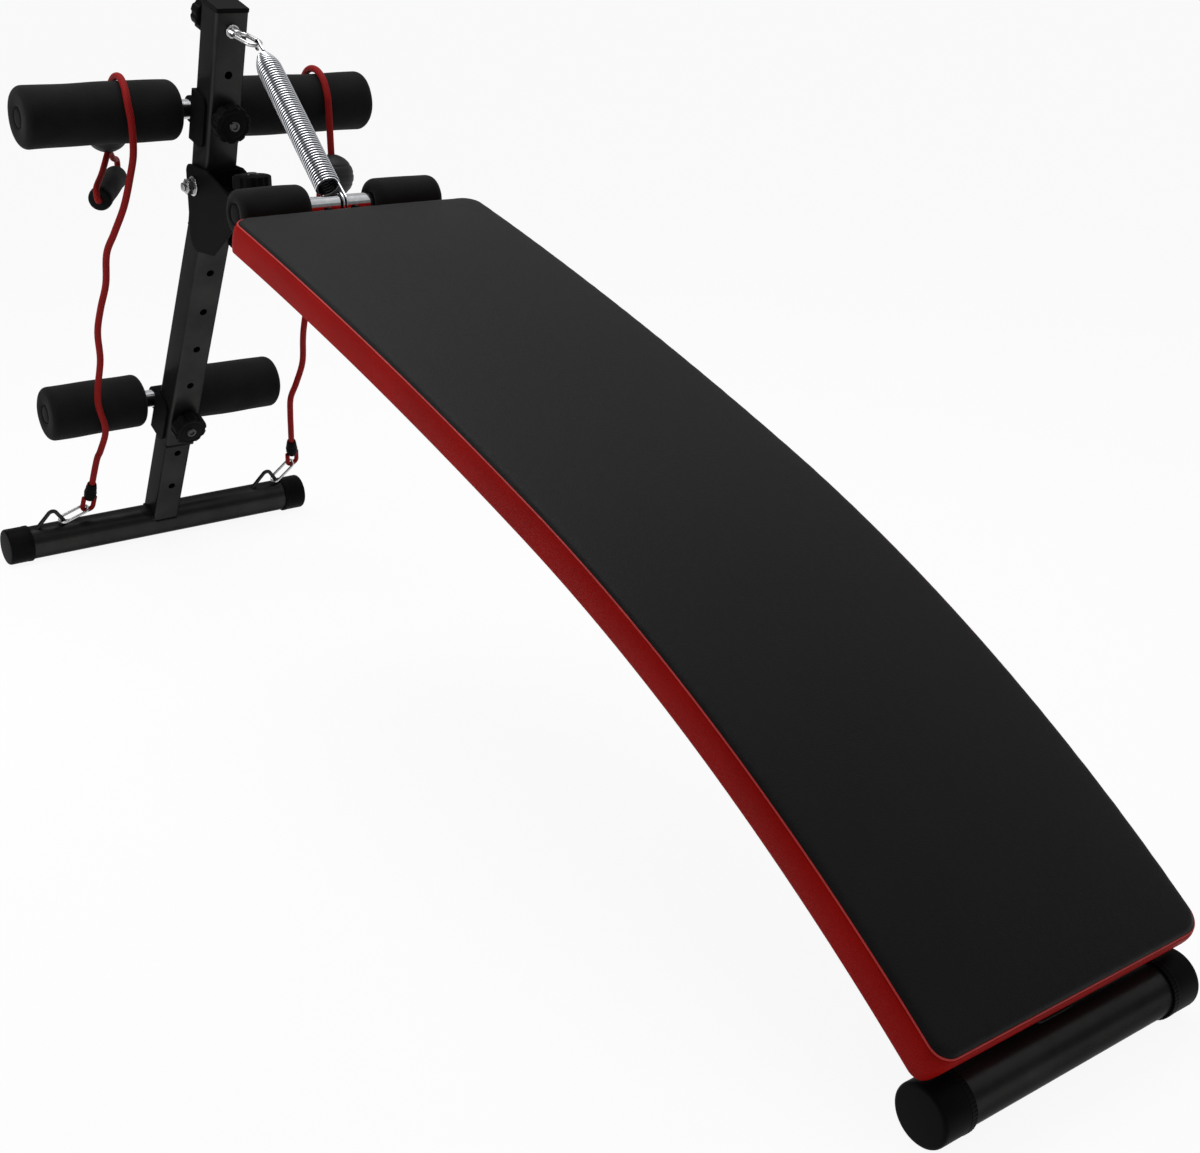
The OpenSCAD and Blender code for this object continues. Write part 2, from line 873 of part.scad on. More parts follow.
// Plug pushed into a tube end, its head covering the wall
module plug(d, reach, side) {
    translate([0, side * (reach - plug_head), 0])
        rotate([-90 * side, 0, 0]) {
            cylinder(d = d, h = plug_head - plug_bevel);
            translate([0, 0, plug_head - plug_bevel])
                cylinder(d1 = d, d2 = d - 2 * plug_bevel, h = plug_bevel);
            translate([0, 0, -plug_depth])
                cylinder(d = d - 2 * pipe_wall, h = plug_depth + e);
        }
}

module roller_plugs() {
    color("black")
        for (side = [-1, 1]) {
            at_upper_roller()
                plug(roller_tube_d, upper_reach, side);
            at_lower_roller()
                plug(roller_tube_d, lower_reach, side);
        }
}

// Foam sleeve with rounded ends
module foam(d, bore, inner, outer, side) {
    r = foam_r;
    length = outer - inner;
    translate([0, side * inner, 0])
        rotate([-90 * side, 0, 0])
            difference() {
                rotate_extrude()
                    union() {
                        translate([bore / 2, 0])
                            square([d / 2 - bore / 2 - r, length]);
                        translate([bore / 2, r])
                            square([d / 2 - bore / 2, length - 2 * r]);
                        for (z = [r, length - r])
                            translate([d / 2 - r, z])
                                circle(r = r);
                    }
                translate([0, 0, -1])
                    cylinder(d = bore, h = length + 2);
            }
}

module upper_foam_left() {
    color("black")
        at_upper_roller()
            foam(foam_d, roller_tube_d + 2 * foam_play, foam_inner, upper_reach, -1);
}

module upper_foam_right() {
    color("black")
        at_upper_roller()
            foam(foam_d, roller_tube_d + 2 * foam_play, foam_inner, upper_reach, 1);
}

module lower_foam_left() {
    color("black")
        at_lower_roller()
            foam(foam_d, roller_tube_d + 2 * foam_play, foam_inner, lower_reach, -1);
}

module lower_foam_right() {
    color("black")
        at_lower_roller()
            foam(foam_d, roller_tube_d + 2 * foam_play, foam_inner, lower_reach, 1);
}

// Hinge: bolt held in the post, side plates of the bench turning on it
module pivot_bolt() {
    seat = hinge_out + washer_t + gap;
    color("silver")
        at_head(pivot_t)
            rotate([90, 0, 0]) {
                translate([0, 0, -seat])
                    cylinder(d = pivot_d, h = 2 * seat + pivot_nut_h + bolt_end);
                translate([0, 0, -seat - nut_h])
                    cylinder(d = pivot_hex, h = nut_h, $fn = 6);
            }
}

module pivot_nut() {
    color("silver")
        at_head(pivot_t)
            rotate([90, 0, 0])
                translate([0, 0, hinge_out + washer_t + gap])
                    difference() {
                        cylinder(d = pivot_hex, h = pivot_nut_h, $fn = 6);
                        translate([0, 0, -1])
                            cylinder(d = pivot_d, h = pivot_nut_h + 2);
                    }
}

module pivot_washers() {
    color("silver")
        at_head(pivot_t)
            for (side = [0, 180])
                rotate([90, 0, side])
                    translate([0, 0, hinge_out + gap])
                        difference() {
                            cylinder(d = washer_d, h = washer_t);
                            translate([0, 0, -1])
                                cylinder(d = pivot_d, h = washer_t + 2);
                        }
}

module hinge_side() {
    pin = [pivot_x, pivot_z];
    top = pin + hinge_top;
    back = pin + hinge_back;
    difference() {
        rotate([90, 0, 0])
            linear_extrude(plate_t, center = true) {
                polygon([top - [hinge_r[0], 0], top + [0, hinge_r[0]], pin + hinge_brow,
                    [pivot_x + hinge_nose[0], level_z + hinge_nose[1]],
                    [pivot_x + hinge_nose[0], level_z - hinge_nose[1]],
                    pin + hinge_chin, back - [0, hinge_r[1]], back - [hinge_r[1], 0]]);
                translate(top)
                    circle(r = hinge_r[0]);
                translate(back)
                    circle(r = hinge_r[1]);
            }
        translate([pivot_x, 0, pivot_z])
            rotate([90, 0, 0])
                cylinder(d = pivot_d + 2 * gap, h = 2 * plate_t, center = true);
    }
}

module hinge_bracket() {
    color("black") {
        for (side = [-1, 1])
            translate([0, side * (hinge_in + plate_t / 2), 0])
                hinge_side();
        at_head(pivot_t)
            block([post_w / 2 + gap, post_w / 2 + gap + plate_t], [-hinge_in - e, hinge_in + e], stop_t);
    }
}

module receiver_tube() {
    outer = receiver_w / 2;
    inner = receiver_inner / 2;
    receiver_x1 = receiver_x0 + receiver_len;
    color("black")
        difference() {
            block([receiver_x0, receiver_x1], [-outer, outer], [level_z - outer, level_z + outer]);
            block([receiver_x0 - 1, receiver_x1 + 1], [-inner, inner], [level_z - inner, level_z + inner]);
            translate([frame_knob_x, 0, level_z])
                cylinder(d = hole_d, h = 2 * receiver_w, center = true);
        }
}

module receiver_nut() {
    color("silver")
        translate([frame_knob_x, 0, level_z - receiver_w / 2 - nut_h])
            nut();
}

module frame_knob() {
    color("black")
        translate([frame_knob_x, 0, level_z + receiver_w / 2 + gap])
            knob_shape(bolt_d);
}

module frame_stud() {
    color("silver")
        translate([frame_knob_x, 0, level_z + receiver_w / 2 + gap])
            knob_stud(receiver_w + gap + stud_tail);
}

// Lines along the bench, as side views: c and r of an arc, steps along it, first step
function arc_line(c, r, from, to, steps, first) = [
    for (k = [first : steps]) c + r * ray(from + (to - from) * k / steps)];
// A line at height h above the bench tube's middle, longer by over at each end
function bench_line(h, over) = concat(
    [[frame_x0 - over, level_z + h]],
    arc_line([vertex[0] - bend_tan, level_z - bend_r], bend_r + h, 90, a0, 8, 0),
    arc_line(c1, pad_r1 - frame_mid + h, a0, a1, 12, 0),
    arc_line(c2, pad_r2 - frame_mid + h, a1, a2, 36, 1),
    [frame_tail + h * ray(a2) + (tail_len + over) * [sin(a2), -cos(a2)]]);
module frame_bar(w, over) {
    band(bench_line(w / 2, over), bench_line(-w / 2, over), w);
}

module frame_tube() {
    color("dimgray")
        difference() {
            frame_bar(frame_w, 0);
            frame_bar(frame_w - 2 * frame_wall, 1);
            translate([frame_knob_x, 0, level_z])
                cylinder(d = hole_d, h = 2 * frame_w, center = true);
            translate([low_x, 0, foot_z])
                rotate([90, 0, 0])
                    cylinder(d = floor_d, h = 2 * frame_w, center = true);
        }
}

// Knee roller on a two-plate cradle welded to the bench tube
module knee_cradle() {
    color("dimgray")
        difference() {
            for (side = [-1, 1])
                translate([knee_pt[0], side * (frame_w - cradle_t) / 2, 0])
                    block([-cradle_half, cradle_half], [-cradle_t / 2, cradle_t / 2],
                        [knee_pt[1] - cradle_drop, knee_pt[1]]);
            translate([knee_pt[0], 0, knee_pt[1]])
                rotate([90, 0, 0])
                    cylinder(d = knee_tube_d, h = 2 * frame_w, center = true);
            translate([vertex[0], 0, vertex[1]])
                rotate([0, pad_slope, 0])
                    block([-run_in, 2 * run_in], [-frame_w, frame_w], [-2 * cradle_drop, frame_w / 2]);
        }
}

module at_knee() {
    translate([knee_pt[0], 0, knee_pt[1]])
        children();
}

module knee_tube() {
    color("silver")
        at_knee()
            pipe(knee_tube_d, knee_reach - plug_head);
}

module knee_plugs() {
    color("black")
        at_knee()
            for (side = [-1, 1])
                plug(knee_tube_d, knee_reach, side);
}

module knee_foam_left() {
    color("black")
        at_knee()
            foam(knee_foam_d, knee_tube_d + 2 * foam_play, knee_inner, knee_reach, -1);
}

module knee_foam_right() {
    color("black")
        at_knee()
            foam(knee_foam_d, knee_tube_d + 2 * foam_play, knee_inner, knee_reach, 1);
}

// Spring: hook in the eye, tapered coils, straight coils, two loops around the knee tube.
// Local axes: u from the eye's tip to the knee tube, v across in the XZ plane, w along Y.
function coil_radius(k) = k < taper_turns
    ? hook_r + (coil_r - hook_r) * sin(90 * k / taper_turns) : coil_r;
function spring_local() = concat(
    [for (a = [320 : -23 : 90]) [hook_r * cos(a), hook_r * sin(a), 0]],
    [[coil_start - 6, hook_r, 0], [coil_start - 3, hook_r, 0.3], [coil_start - 1, hook_r * 0.97, 1.4]],
    [for (i = [1 : coil_turns * 8]) let (k = i / 8, r = coil_radius(k))
        [coil_start + k * coil_pitch, r * cos(360 * k), r * sin(360 * k)]],
    [[coil_end + 0.9, coil_r - 0.1, 3.4], [coil_end + 3.2, coil_r - 0.5, 5.2],
        [coil_end + 7, coil_r - 1.2, loop_y]],
    [for (k = [0 : 21]) let (a = 90 - 30 * k)
        [reach_u + loop_r * cos(a), loop_r * sin(a), loop_y - loop_step * k / 21]]);
function to_world(q) = tip + q[0] * axis_u + q[1] * axis_v + q[2] * axis_w;
spring_path = [for (q = spring_local()) to_world(q)];
spring_gap = min([for (i = [0 : len(spring_path) - 7])
    for (j = [i + 6 : min(i + 40, len(spring_path) - 1)])
        norm(spring_path[i] - spring_path[j])]) - wire_d;

module spring() {
    echo(spring_gap = spring_gap, rings = len(spring_path), curls = coil_turns);
    color("silver")
        tube(spring_path, [0, 1, 0], wire_d / 2, 6);
}

// Cross straps between the bench tube and the board
function arc_angle(s) = s < pad_l1 ? a0 - arc_turn(s, pad_r1) : a1 - arc_turn(s - pad_l1, pad_r2);
function arc_c(s) = s < pad_l1 ? c1 : c2;
function arc_r(s) = s < pad_l1 ? pad_r1 : pad_r2;

// Place on the pad's line: z outward from the arc at depth d below the pad's edge
module at_pad(s, d) {
    translate([arc_c(s)[0], 0, arc_c(s)[1]])
        rotate([0, 90 - arc_angle(s), 0])
            translate([0, 0, arc_r(s) - d])
                children();
}

module screw_places() {
    for (s = strap_at)
        for (y = [-screw_y, screw_y])
            at_pad(s, frame_top)
                translate([0, y, 0])
                    children();
}

module pad_straps() {
    color("black")
        difference() {
            for (s = strap_at)
                arc_sweep(arc_c(s), arc_r(s) - frame_top,
                    arc_angle(s - strap_half), arc_angle(s + strap_half))
                    translate([0, -strap_w / 2])
                        square([strap_t, strap_w]);
            screw_places()
                cylinder(d = screw_hole_d, h = 4 * strap_t, center = true, $fn = 32);
        }
}

// Corner left over outside the board's round, at its head (end -1) or its tail (end 1)
module corner_waste(end, side) {
    r = corner_r - board_in;
    waste = [0, 2 * r];
    at_pad(end < 0 ? board_in : pad_len - board_in, strap_top)
        translate([-end * r, side * (pad_w / 2 - board_in - r), -board_t])
            difference() {
                block(end < 0 ? -[waste[1], 0] : waste, side < 0 ? -[waste[1], 0] : waste, [0, 3 * board_t]);
                translate([0, 0, -1])
                    cylinder(r = r, h = 3 * board_t + 2);
            }
}

function pad_line(d) = [
    for (k = [0 : 60])
        let (s = board_in + (pad_len - 2 * board_in) * k / 60)
            arc_c(s) + (arc_r(s) - d) * ray(arc_angle(s))];
module pad_board() {
    color("burlywood")
        difference() {
            band(pad_line(board_top), pad_line(strap_top), pad_w - 2 * board_in);
            for (end = [-1, 1])
                for (side = [-1, 1])
                    corner_waste(end, side);
            screw_places()
                cylinder(d = screw_d, h = strap_t + screw_bite, $fn = 32);
        }
}

module pad_screws() {
    color("silver")
        screw_places() {
            cylinder(d = screw_d, h = strap_t + screw_bite, $fn = 32);
            translate([0, 0, -screw_head_h])
                cylinder(d = screw_head_d, h = screw_head_h, $fn = 6);
        }
}

// Cushion: crowned top, rolled edges, sides bulged and drawn in round the edge of the board
// Sections stand close together near the ends, where the corners round
ends = [0, 1.5, board_in - 2 * gap, board_in - gap, 0.45 * corner_r, corner_r, 2 * corner_r];
even = 24;
stations = concat(ends,
    [for (k = [1 : even - 1]) ends[6] + (pad_len - 2 * ends[6]) * k / even],
    [for (k = [6 : -1 : 0]) pad_len - ends[k]]);
function corner_in(d, r) = d < r ? r - sqrt(r * r - pow(r - d, 2)) : 0;
end_run = 10;
end_fall = 6;
function end_drop(d) = d < end_run ? end_fall * pow(1 - d / end_run, 2) : 0;
crown_run = 120;
function crown_share(d) = let (f = min(1, d / crown_run)) f * (2 - f);
// Half a section from the foot of a side to the rolled edge: distance in from the side, height
function side_profile(drop) = [[0.5, 0], [0, 3], [-0.8, cushion_h * 0.45],
    [0.2, cushion_h - 7 - drop * 0.6], [3.6, cushion_h - 2 - drop], [8, cushion_h + 0.2 - drop]];
// Recess in the underside that takes the board: half its width, and its depth
recess_r = 8;
recess_in = board_in - gap;
function recess(d) = [pad_w / 2 - recess_in - corner_in(max(d - recess_in, 0), recess_r),
    d < recess_in - gap / 2 ? 0 : board_t];
function section(s) =
    let (d = min(s, pad_len - s), half = pad_w / 2 - corner_in(d, corner_r),
        rim = side_profile(end_drop(d)), flat = half - rim[5][0], lift = crown_h * crown_share(d),
        hole = recess(d), wide = min(hole[0], half - 1.5), deep = hole[1])
        concat(
            [for (q = rim) [q[0] - half, q[1]]],
            [for (k = [1 : 13]) let (y = flat * (k / 7 - 1)) [y, rim[5][1] + lift * (1 - pow(y / half, 2))]],
            [for (k = [5 : -1 : 0]) [half - rim[k][0], rim[k][1]]],
            [[wide, 0], [wide - gap, deep], [0, deep], [gap - wide, deep], [-wide, 0]]);
cushion_n = len(section(pad_l1));
function on_pad(s, q) =
    let (p = arc_c(s) + (arc_r(s) - cushion_h + q[1]) * ray(arc_angle(s))) [p[0], q[0], p[1]];
function corners(i, k) = [i * cushion_n + k, (i + 1) * cushion_n + k,
    (i + 1) * cushion_n + (k + 1) % cushion_n, i * cushion_n + (k + 1) % cushion_n];

module pad_cushion() {
    n = cushion_n;
    last = len(stations) - 1;
    middle = [0, cushion_h / 2];
    points = concat(
        [for (s = stations) for (q = section(s)) on_pad(s, q)],
        [on_pad(0, middle), on_pad(pad_len, middle)]);
    skin = [for (i = [0 : last - 1]) for (k = [0 : n - 1]) corners(i, k)];
    faces = concat(
        [for (c = skin) [c[0], c[1], c[2]]],
        [for (c = skin) [c[0], c[2], c[3]]],
        [for (k = [0 : n - 1]) [k, (k + 1) % n, (last + 1) * n]],
        [for (k = [0 : n - 1]) [last * n + (k + 1) % n, last * n + k, (last + 1) * n + 1]]);
    color("firebrick")
        polyhedron(points = points, faces = faces);
}

// Cords: from the crimp sleeve up to the upper roller, over it and down to the ball
function from_foot(p) = [for (q = p) q + [foot_x, 0, 0]];
function around(p) = [
    for (q = p) [upper_axis[0] + wrap_r * cos(q[0]), q[1], upper_axis[1] + wrap_r * sin(q[0])]];
function link_tip(side) =
    let (up = link_z + link_len * sin(link_tilt[side]))
        [foot_x + up * sin(anchor_lean), anchor_y[side] + link_y + link_len * cos(link_tilt[side]),
            foot_z + up * cos(anchor_lean)];
function lead(side) = unit([left_mid, right_mid][side][0] + [foot_x, 0, 0] - link_tip(side));
function loop_seat_pt(side) = link_tip(side) + loop_seat * lead(side);
function sleeve_top(side) = loop_seat_pt(side) + (loop_len + sleeve_len) * lead(side);
function into_ball(p, d) = [p + (ball_d / 2 + 9) * unit(d), p + (ball_d / 2 - bite) * unit(d)];
left_route = concat([sleeve_top(0)], from_foot(left_mid), around(left_over),
    into_ball(left_ball, left_ball_up));
right_route = concat([sleeve_top(1)], from_foot(right_mid), around(right_over),
    into_ball(right_ball, [0, 0, 1]));

module rope_left() {
    color("red")
        tube(spline(left_route, 2), [1, 0, 0], cord_d / 2, 8);
}

module rope_right() {
    color("red")
        tube(spline(right_route, 2), [1, 0, 0], cord_d / 2, 8);
}

// Local z along the cord's lead, local x across the link's wire
module at_lead(side) {
    d = lead(side);
    n = unit([1, 0, 0] - d[0] * d);
    b = cross(d, n);
    p = loop_seat_pt(side);
    multmatrix([
        [n[0], b[0], d[0], p[0]],
        [n[1], b[1], d[1], p[1]],
        [n[2], b[2], d[2], p[2]],
        [0, 0, 0, 1]])
        children();
}

module rope_loops() {
    color("red")
        for (side = [0, 1])
            at_lead(side) {
                rotate([90, 0, 90])
                    rotate([0, 0, 180])
                        rotate_extrude(angle = 180)
                            translate([loop_in, 0])
                                circle(d = loop_cord);
                for (y = [-loop_in, loop_in])
                    translate([0, y, 0])
                        cylinder(d = loop_cord, h = loop_len);
            }
}

module rope_sleeves() {
    color("black")
        for (side = [0, 1])
            at_lead(side)
                translate([0, 0, loop_len]) {
                    cylinder(d1 = sleeve_d[0], d2 = sleeve_d[1], h = sleeve_flare);
                    translate([0, 0, sleeve_flare])
                        cylinder(d1 = sleeve_d[1], d2 = sleeve_d[2], h = sleeve_len - sleeve_flare);
                }
}

module cord_balls() {
    color("black") {
        translate(left_ball)
            sphere(d = ball_d);
        translate(right_ball)
            sphere(d = ball_d);
    }
}

// Hand grips with the handle cord through them, hanging from the balls
// Half a handle's cord: from the ball's foot, round the grip's end and along its bore
function handle_half(ball, grip, d) = [
    ball - [0, 0, ball_d / 2 - bite] + 5 * d,
    ball * 0.45 + (grip + (grip_len / 2 + 8) * d) * 0.55 - [0, 0, 4],
    grip + (grip_len / 2 + 9) * d + [0, 0, 16],
    grip + (grip_len / 2 + 10) * d + [0, 0, 5],
    grip + (grip_len / 2 + 3) * d,
    grip + (grip_len / 2 - 12) * d,
    grip + grip_len / 4 * d];
function handle_route(ball, grip, d) =
    let (far = handle_half(ball, grip, d))
        concat(handle_half(ball, grip, -d), [grip], [for (k = [6 : -1 : 0]) far[k]]);

module handle_cord(ball, grip, d) {
    tube(spline(handle_route(ball, grip, unit(d)), 3), [0, 0, 1], handle_cord_d / 2, 8);
}

module handle_cord_left() {
    color("red")
        handle_cord(left_ball, left_grip, left_dir);
}

module handle_cord_right() {
    color("red")
        handle_cord(right_ball, right_grip, right_dir);
}

module grip(p, d) {
    translate(p)
        rotate([0, 90 - asin(unit(d)[2]), atan2(d[1], d[0])])
            difference() {
                union() {
                    cylinder(d = grip_d, h = grip_len - 2 * grip_bevel, center = true);
                    for (side = [0, 180])
                        rotate([side, 0, 0])
                            translate([0, 0, grip_len / 2 - grip_bevel])
                                cylinder(d1 = grip_d, d2 = grip_d - 2 * grip_bevel, h = grip_bevel);
                }
                cylinder(d = handle_cord_d, h = grip_len + 2, center = true);
            }
}

module grips() {
    color("black") {
        grip(left_grip, left_dir);
        grip(right_grip, right_dir);
    }
}

base_tube();
base_cap_left();
base_cap_right();
leg_tube();
rope_anchor_left();
rope_anchor_right();
link_left();
link_right();
post_tube();
post_bush();
post_top_cap();
eye_bolt();
eye_knob();
upper_bracket();
lower_bracket();
bracket_nuts();
upper_roller_tube();
lower_roller_tube();
roller_plugs();
upper_foam_left();
upper_foam_right();
lower_foam_left();
lower_foam_right();
upper_knob();
upper_stud();
lower_knob();
lower_stud();
pivot_bolt();
pivot_nut();
pivot_washers();
hinge_bracket();
receiver_tube();
receiver_nut();
frame_tube();
frame_knob();
frame_stud();
knee_cradle();
knee_tube();
knee_plugs();
knee_foam_left();
knee_foam_right();
spring();
pad_straps();
pad_board();
pad_screws();
pad_cushion();
low_tube();
low_cap_left();
low_cap_right();
rope_left();
rope_right();
rope_loops();
rope_sleeves();
cord_balls();
handle_cord_left();
handle_cord_right();
grips();
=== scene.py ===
import json
import math

import bmesh
import bpy
import numpy as np
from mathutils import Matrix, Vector

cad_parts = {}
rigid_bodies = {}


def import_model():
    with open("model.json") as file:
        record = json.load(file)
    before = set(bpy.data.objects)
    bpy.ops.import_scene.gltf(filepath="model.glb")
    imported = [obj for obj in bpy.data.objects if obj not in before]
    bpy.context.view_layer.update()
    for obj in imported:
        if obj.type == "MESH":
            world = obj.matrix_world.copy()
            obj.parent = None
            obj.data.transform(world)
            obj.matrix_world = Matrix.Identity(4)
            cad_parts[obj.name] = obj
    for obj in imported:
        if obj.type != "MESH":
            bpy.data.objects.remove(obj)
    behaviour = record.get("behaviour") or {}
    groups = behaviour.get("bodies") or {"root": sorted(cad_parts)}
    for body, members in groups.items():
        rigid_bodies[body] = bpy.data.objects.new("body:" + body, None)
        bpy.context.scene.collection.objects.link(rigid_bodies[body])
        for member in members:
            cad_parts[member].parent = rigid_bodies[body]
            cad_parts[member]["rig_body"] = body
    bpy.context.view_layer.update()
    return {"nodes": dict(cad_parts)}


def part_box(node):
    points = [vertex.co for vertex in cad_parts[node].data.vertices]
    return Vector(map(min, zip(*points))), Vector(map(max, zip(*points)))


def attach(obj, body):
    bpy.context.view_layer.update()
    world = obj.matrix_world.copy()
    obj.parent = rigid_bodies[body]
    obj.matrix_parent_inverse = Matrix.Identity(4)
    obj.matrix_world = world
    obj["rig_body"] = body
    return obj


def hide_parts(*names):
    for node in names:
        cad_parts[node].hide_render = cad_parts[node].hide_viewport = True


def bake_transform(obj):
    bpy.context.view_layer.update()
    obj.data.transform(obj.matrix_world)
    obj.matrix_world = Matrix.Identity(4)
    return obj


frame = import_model()

# Floor tubes: two steel tubes 42 mm across that carry the bench, sawn square at both ends.
# They are welded to the post's leg and to the bench tube and coated in dark graphite lacquer.

MM = 0.001
FOOT = np.array([-0.740, 0.0, 0.022])
LOW = np.array([0.740, 0.0, 0.022])
ALONG_Y = (0.0, 1.0, 0.0)
FLOOR_R, FLOOR_WALL = 0.021, 0.002
POST_HALF, LOW_HALF = 0.202, 0.130
CREASE = 32


def unit(v):
    """Each vector of the last axis divided by its own length."""
    v = np.asarray(v, float)
    return v / np.linalg.norm(v, axis=-1, keepdims=True)


def skin(name, grid, meet=False, along=None, sharp=CREASE, middle=None):
    """Mesh over a grid of rings: neighbouring points of two neighbouring rings make a quad, and each ring is
    closed. With meet the last ring joins the first, otherwise one face closes each end, or with middle, the
    place on the ring of its line of symmetry, a row of quads from side to side. With along, the length at
    each ring, the mesh carries a UV map of turn and length."""
    n, m = grid.shape[:2]
    row = np.arange(n if meet else n - 1)[:, None]
    col = np.arange(m)[None, :]
    after, up = (col + 1) % m, (row + 1) % n
    quads = np.stack([row * m + col, row * m + after, up * m + after, up * m + col], -1).reshape(-1, 4)
    faces = quads.tolist()
    if middle is not None:
        one, two = (middle + np.arange(m // 2)) % m, (middle - 1 - np.arange(m // 2)) % m
        row_across = np.stack([one[:-1], one[1:], two[1:], two[:-1]], -1)
        faces += row_across.tolist() + (row_across + (n - 1) * m).tolist()
    elif not meet:
        faces += [np.arange(m)[::-1].tolist(), np.arange(n * m - m, n * m).tolist()]
    mesh = bpy.data.meshes.new(name)
    mesh.from_pydata(grid.reshape(-1, 3).tolist(), [], faces)
    if along is not None:
        turn = np.broadcast_to(np.stack([col, col + 1, col + 1, col], -1) / m, (len(row), m, 4))
        far = np.stack([along[row], along[row], along[up], along[up]], -1)
        pairs = np.stack([turn, np.broadcast_to(far, turn.shape)], -1).reshape(-1)
        ends = np.zeros(0 if meet else 4 * m)
        mesh.uv_layers.new(name="UVMap").data.foreach_set("uv", np.concatenate([pairs, ends]))
    work = bmesh.new()
    work.from_mesh(mesh)
    bmesh.ops.recalc_face_normals(work, faces=work.faces)
    work.to_mesh(mesh)
    work.free()
    return shown(name, smoothed(mesh, sharp))


def smoothed(mesh, sharp=CREASE):
    """The mesh shaded smooth, with a hard edge where faces meet at more than the angle sharp in degrees."""
    mesh.polygons.foreach_set("use_smooth", np.ones(len(mesh.polygons), bool))
    mesh.set_sharp_from_angle(angle=math.radians(sharp))
    return mesh


def shown(name, data):
    """A new object at the origin of the scene that holds a mesh, a lamp or a camera."""
    made = bpy.data.objects.new(name, data)
    bpy.context.scene.collection.objects.link(made)
    return made


def eased(points, r, steps=6, closed=False):
    """A line with its corners eased: each corner gives way to the parabola that leaves one side and meets the
    other at the distance r from the corner."""
    p = np.asarray(points, float)
    before, after = np.roll(p, 1, 0), np.roll(p, -1, 0)
    if not closed:
        before[0], after[-1] = p[0], p[-1]
    reach = np.broadcast_to(np.asarray(r, float), (len(p),))[:, None]
    back, on = before - p, after - p
    lb, lo = np.linalg.norm(back, axis=1, keepdims=True), np.linalg.norm(on, axis=1, keepdims=True)
    a = p + back * np.minimum(reach / np.maximum(lb, 1e-9), 0.5)
    b = p + on * np.minimum(reach / np.maximum(lo, 1e-9), 0.5)
    t = np.linspace(0, 1, steps)[None, :, None]
    curve = (1 - t) ** 2 * a[:, None] + 2 * t * (1 - t) * p[:, None] + t ** 2 * b[:, None]
    line = curve.reshape(-1, p.shape[1])
    if closed:
        return line
    return line[np.linalg.norm(np.diff(line, axis=0, prepend=line[:1] - 1), axis=1) > 1e-9]


def around(n):
    """n angles, evenly spaced, that make one whole turn."""
    return np.linspace(0, 2 * np.pi, n, endpoint=False)


def turned(line, centre, axis, sides):
    """Rings about an axis: each row of the line, a distance along the axis and a radius, becomes a circle."""
    p = np.asarray(line, float)
    a = unit(axis)
    first = unit(np.cross(a, (0.0, 0.0, 1.0) if abs(a[2]) < 0.9 else (1.0, 0.0, 0.0)))
    turn = around(sides)[:, None]
    circle = np.cos(turn) * first + np.sin(turn) * np.cross(a, first)
    return np.asarray(centre, float) + p[:, :1, None] * a + p[:, 1:, None] * circle[None]


def add(tree, kind, *ins, **given):
    """One shader node. Small-letter names are its settings, the others its inputs: a socket is linked to them
    and a plain value is set on them."""
    made = tree.nodes.new("ShaderNode" + kind)
    for key in [k for k in given if k[0].islower()]:
        setattr(made, key, given.pop(key))
    wanted = [(made.inputs[k.replace("_", " ")], v) for k, v in given.items()] + list(zip(made.inputs, ins))
    for socket, value in wanted:
        if isinstance(value, bpy.types.NodeSocket):
            tree.links.new(value, socket)
        else:
            socket.default_value = value
    return made


def coat(name, **even):
    """A material with one principled shader; what is even all over is set on the shader's own sockets."""
    made = bpy.data.materials.new(name)
    made.use_nodes = True
    shader = made.node_tree.nodes["Principled BSDF"]
    for key, value in even.items():
        shader.inputs[key.replace("_", " ")].default_value = value
    return made, made.node_tree, shader


def shade(tree, value, *stops):
    """A colour ramp over a value: each stop is a place from 0 to 1 and a grey or a colour."""
    made = add(tree, "ValToRGB", value)
    ramp = made.color_ramp
    while len(ramp.elements) < len(stops):
        ramp.elements.new(0.5)
    for element, (place, tone) in zip(ramp.elements, stops):
        element.position = place
        element.color = (*((tone,) * 3 if isinstance(tone, (int, float)) else tone), 1)
    return made.outputs["Color"]


def spread(tree, value, low, high):
    """A value from 0 to 1 mapped to the range from low to high."""
    return add(tree, "MapRange", Value=value, To_Min=low, To_Max=high).outputs["Result"]


def spots(tree, place, scale, detail, rough=0.5):
    """Cloudy spots of a value about one half, with scale of them to the metre and detail finer layers."""
    return add(tree, "TexNoise", Vector=place, Scale=scale, Detail=detail, Roughness=rough).outputs["Fac"]


def lay(tree, shader, **linked):
    """Links each value to the shader's input of that name."""
    for key, value in linked.items():
        tree.links.new(value, shader.inputs[key.replace("_", " ")])


def relief(tree, shader, height, distance, strength):
    """Fine relief on a shader from a height between 0 and 1, distance in metres."""
    bump = add(tree, "Bump", Height=height, Distance=distance, Strength=strength)
    lay(tree, shader, Normal=bump.outputs["Normal"])


def cloudy_coat(name, tone, cloud, rough=None, rub=None, bump=None, grain=None, **even):
    """A coat whose tone follows a cloud of spots, given by scale, detail and roughness. Its roughness spreads
    over rough with the spots of rub, and its relief follows the spots of grain. Where these are not given,
    both follow the cloud."""
    made, tree, shader = coat(name, **even)
    place = add(tree, "TexCoord").outputs["Object"]
    clouds = spots(tree, place, *cloud)
    lay(tree, shader, Base_Color=shade(tree, clouds, *tone))
    if rough:
        lay(tree, shader, Roughness=spread(tree, spots(tree, place, *rub) if rub else clouds, *rough))
    if bump:
        relief(tree, shader, spots(tree, place, *grain) if grain else clouds, *bump)
    return made


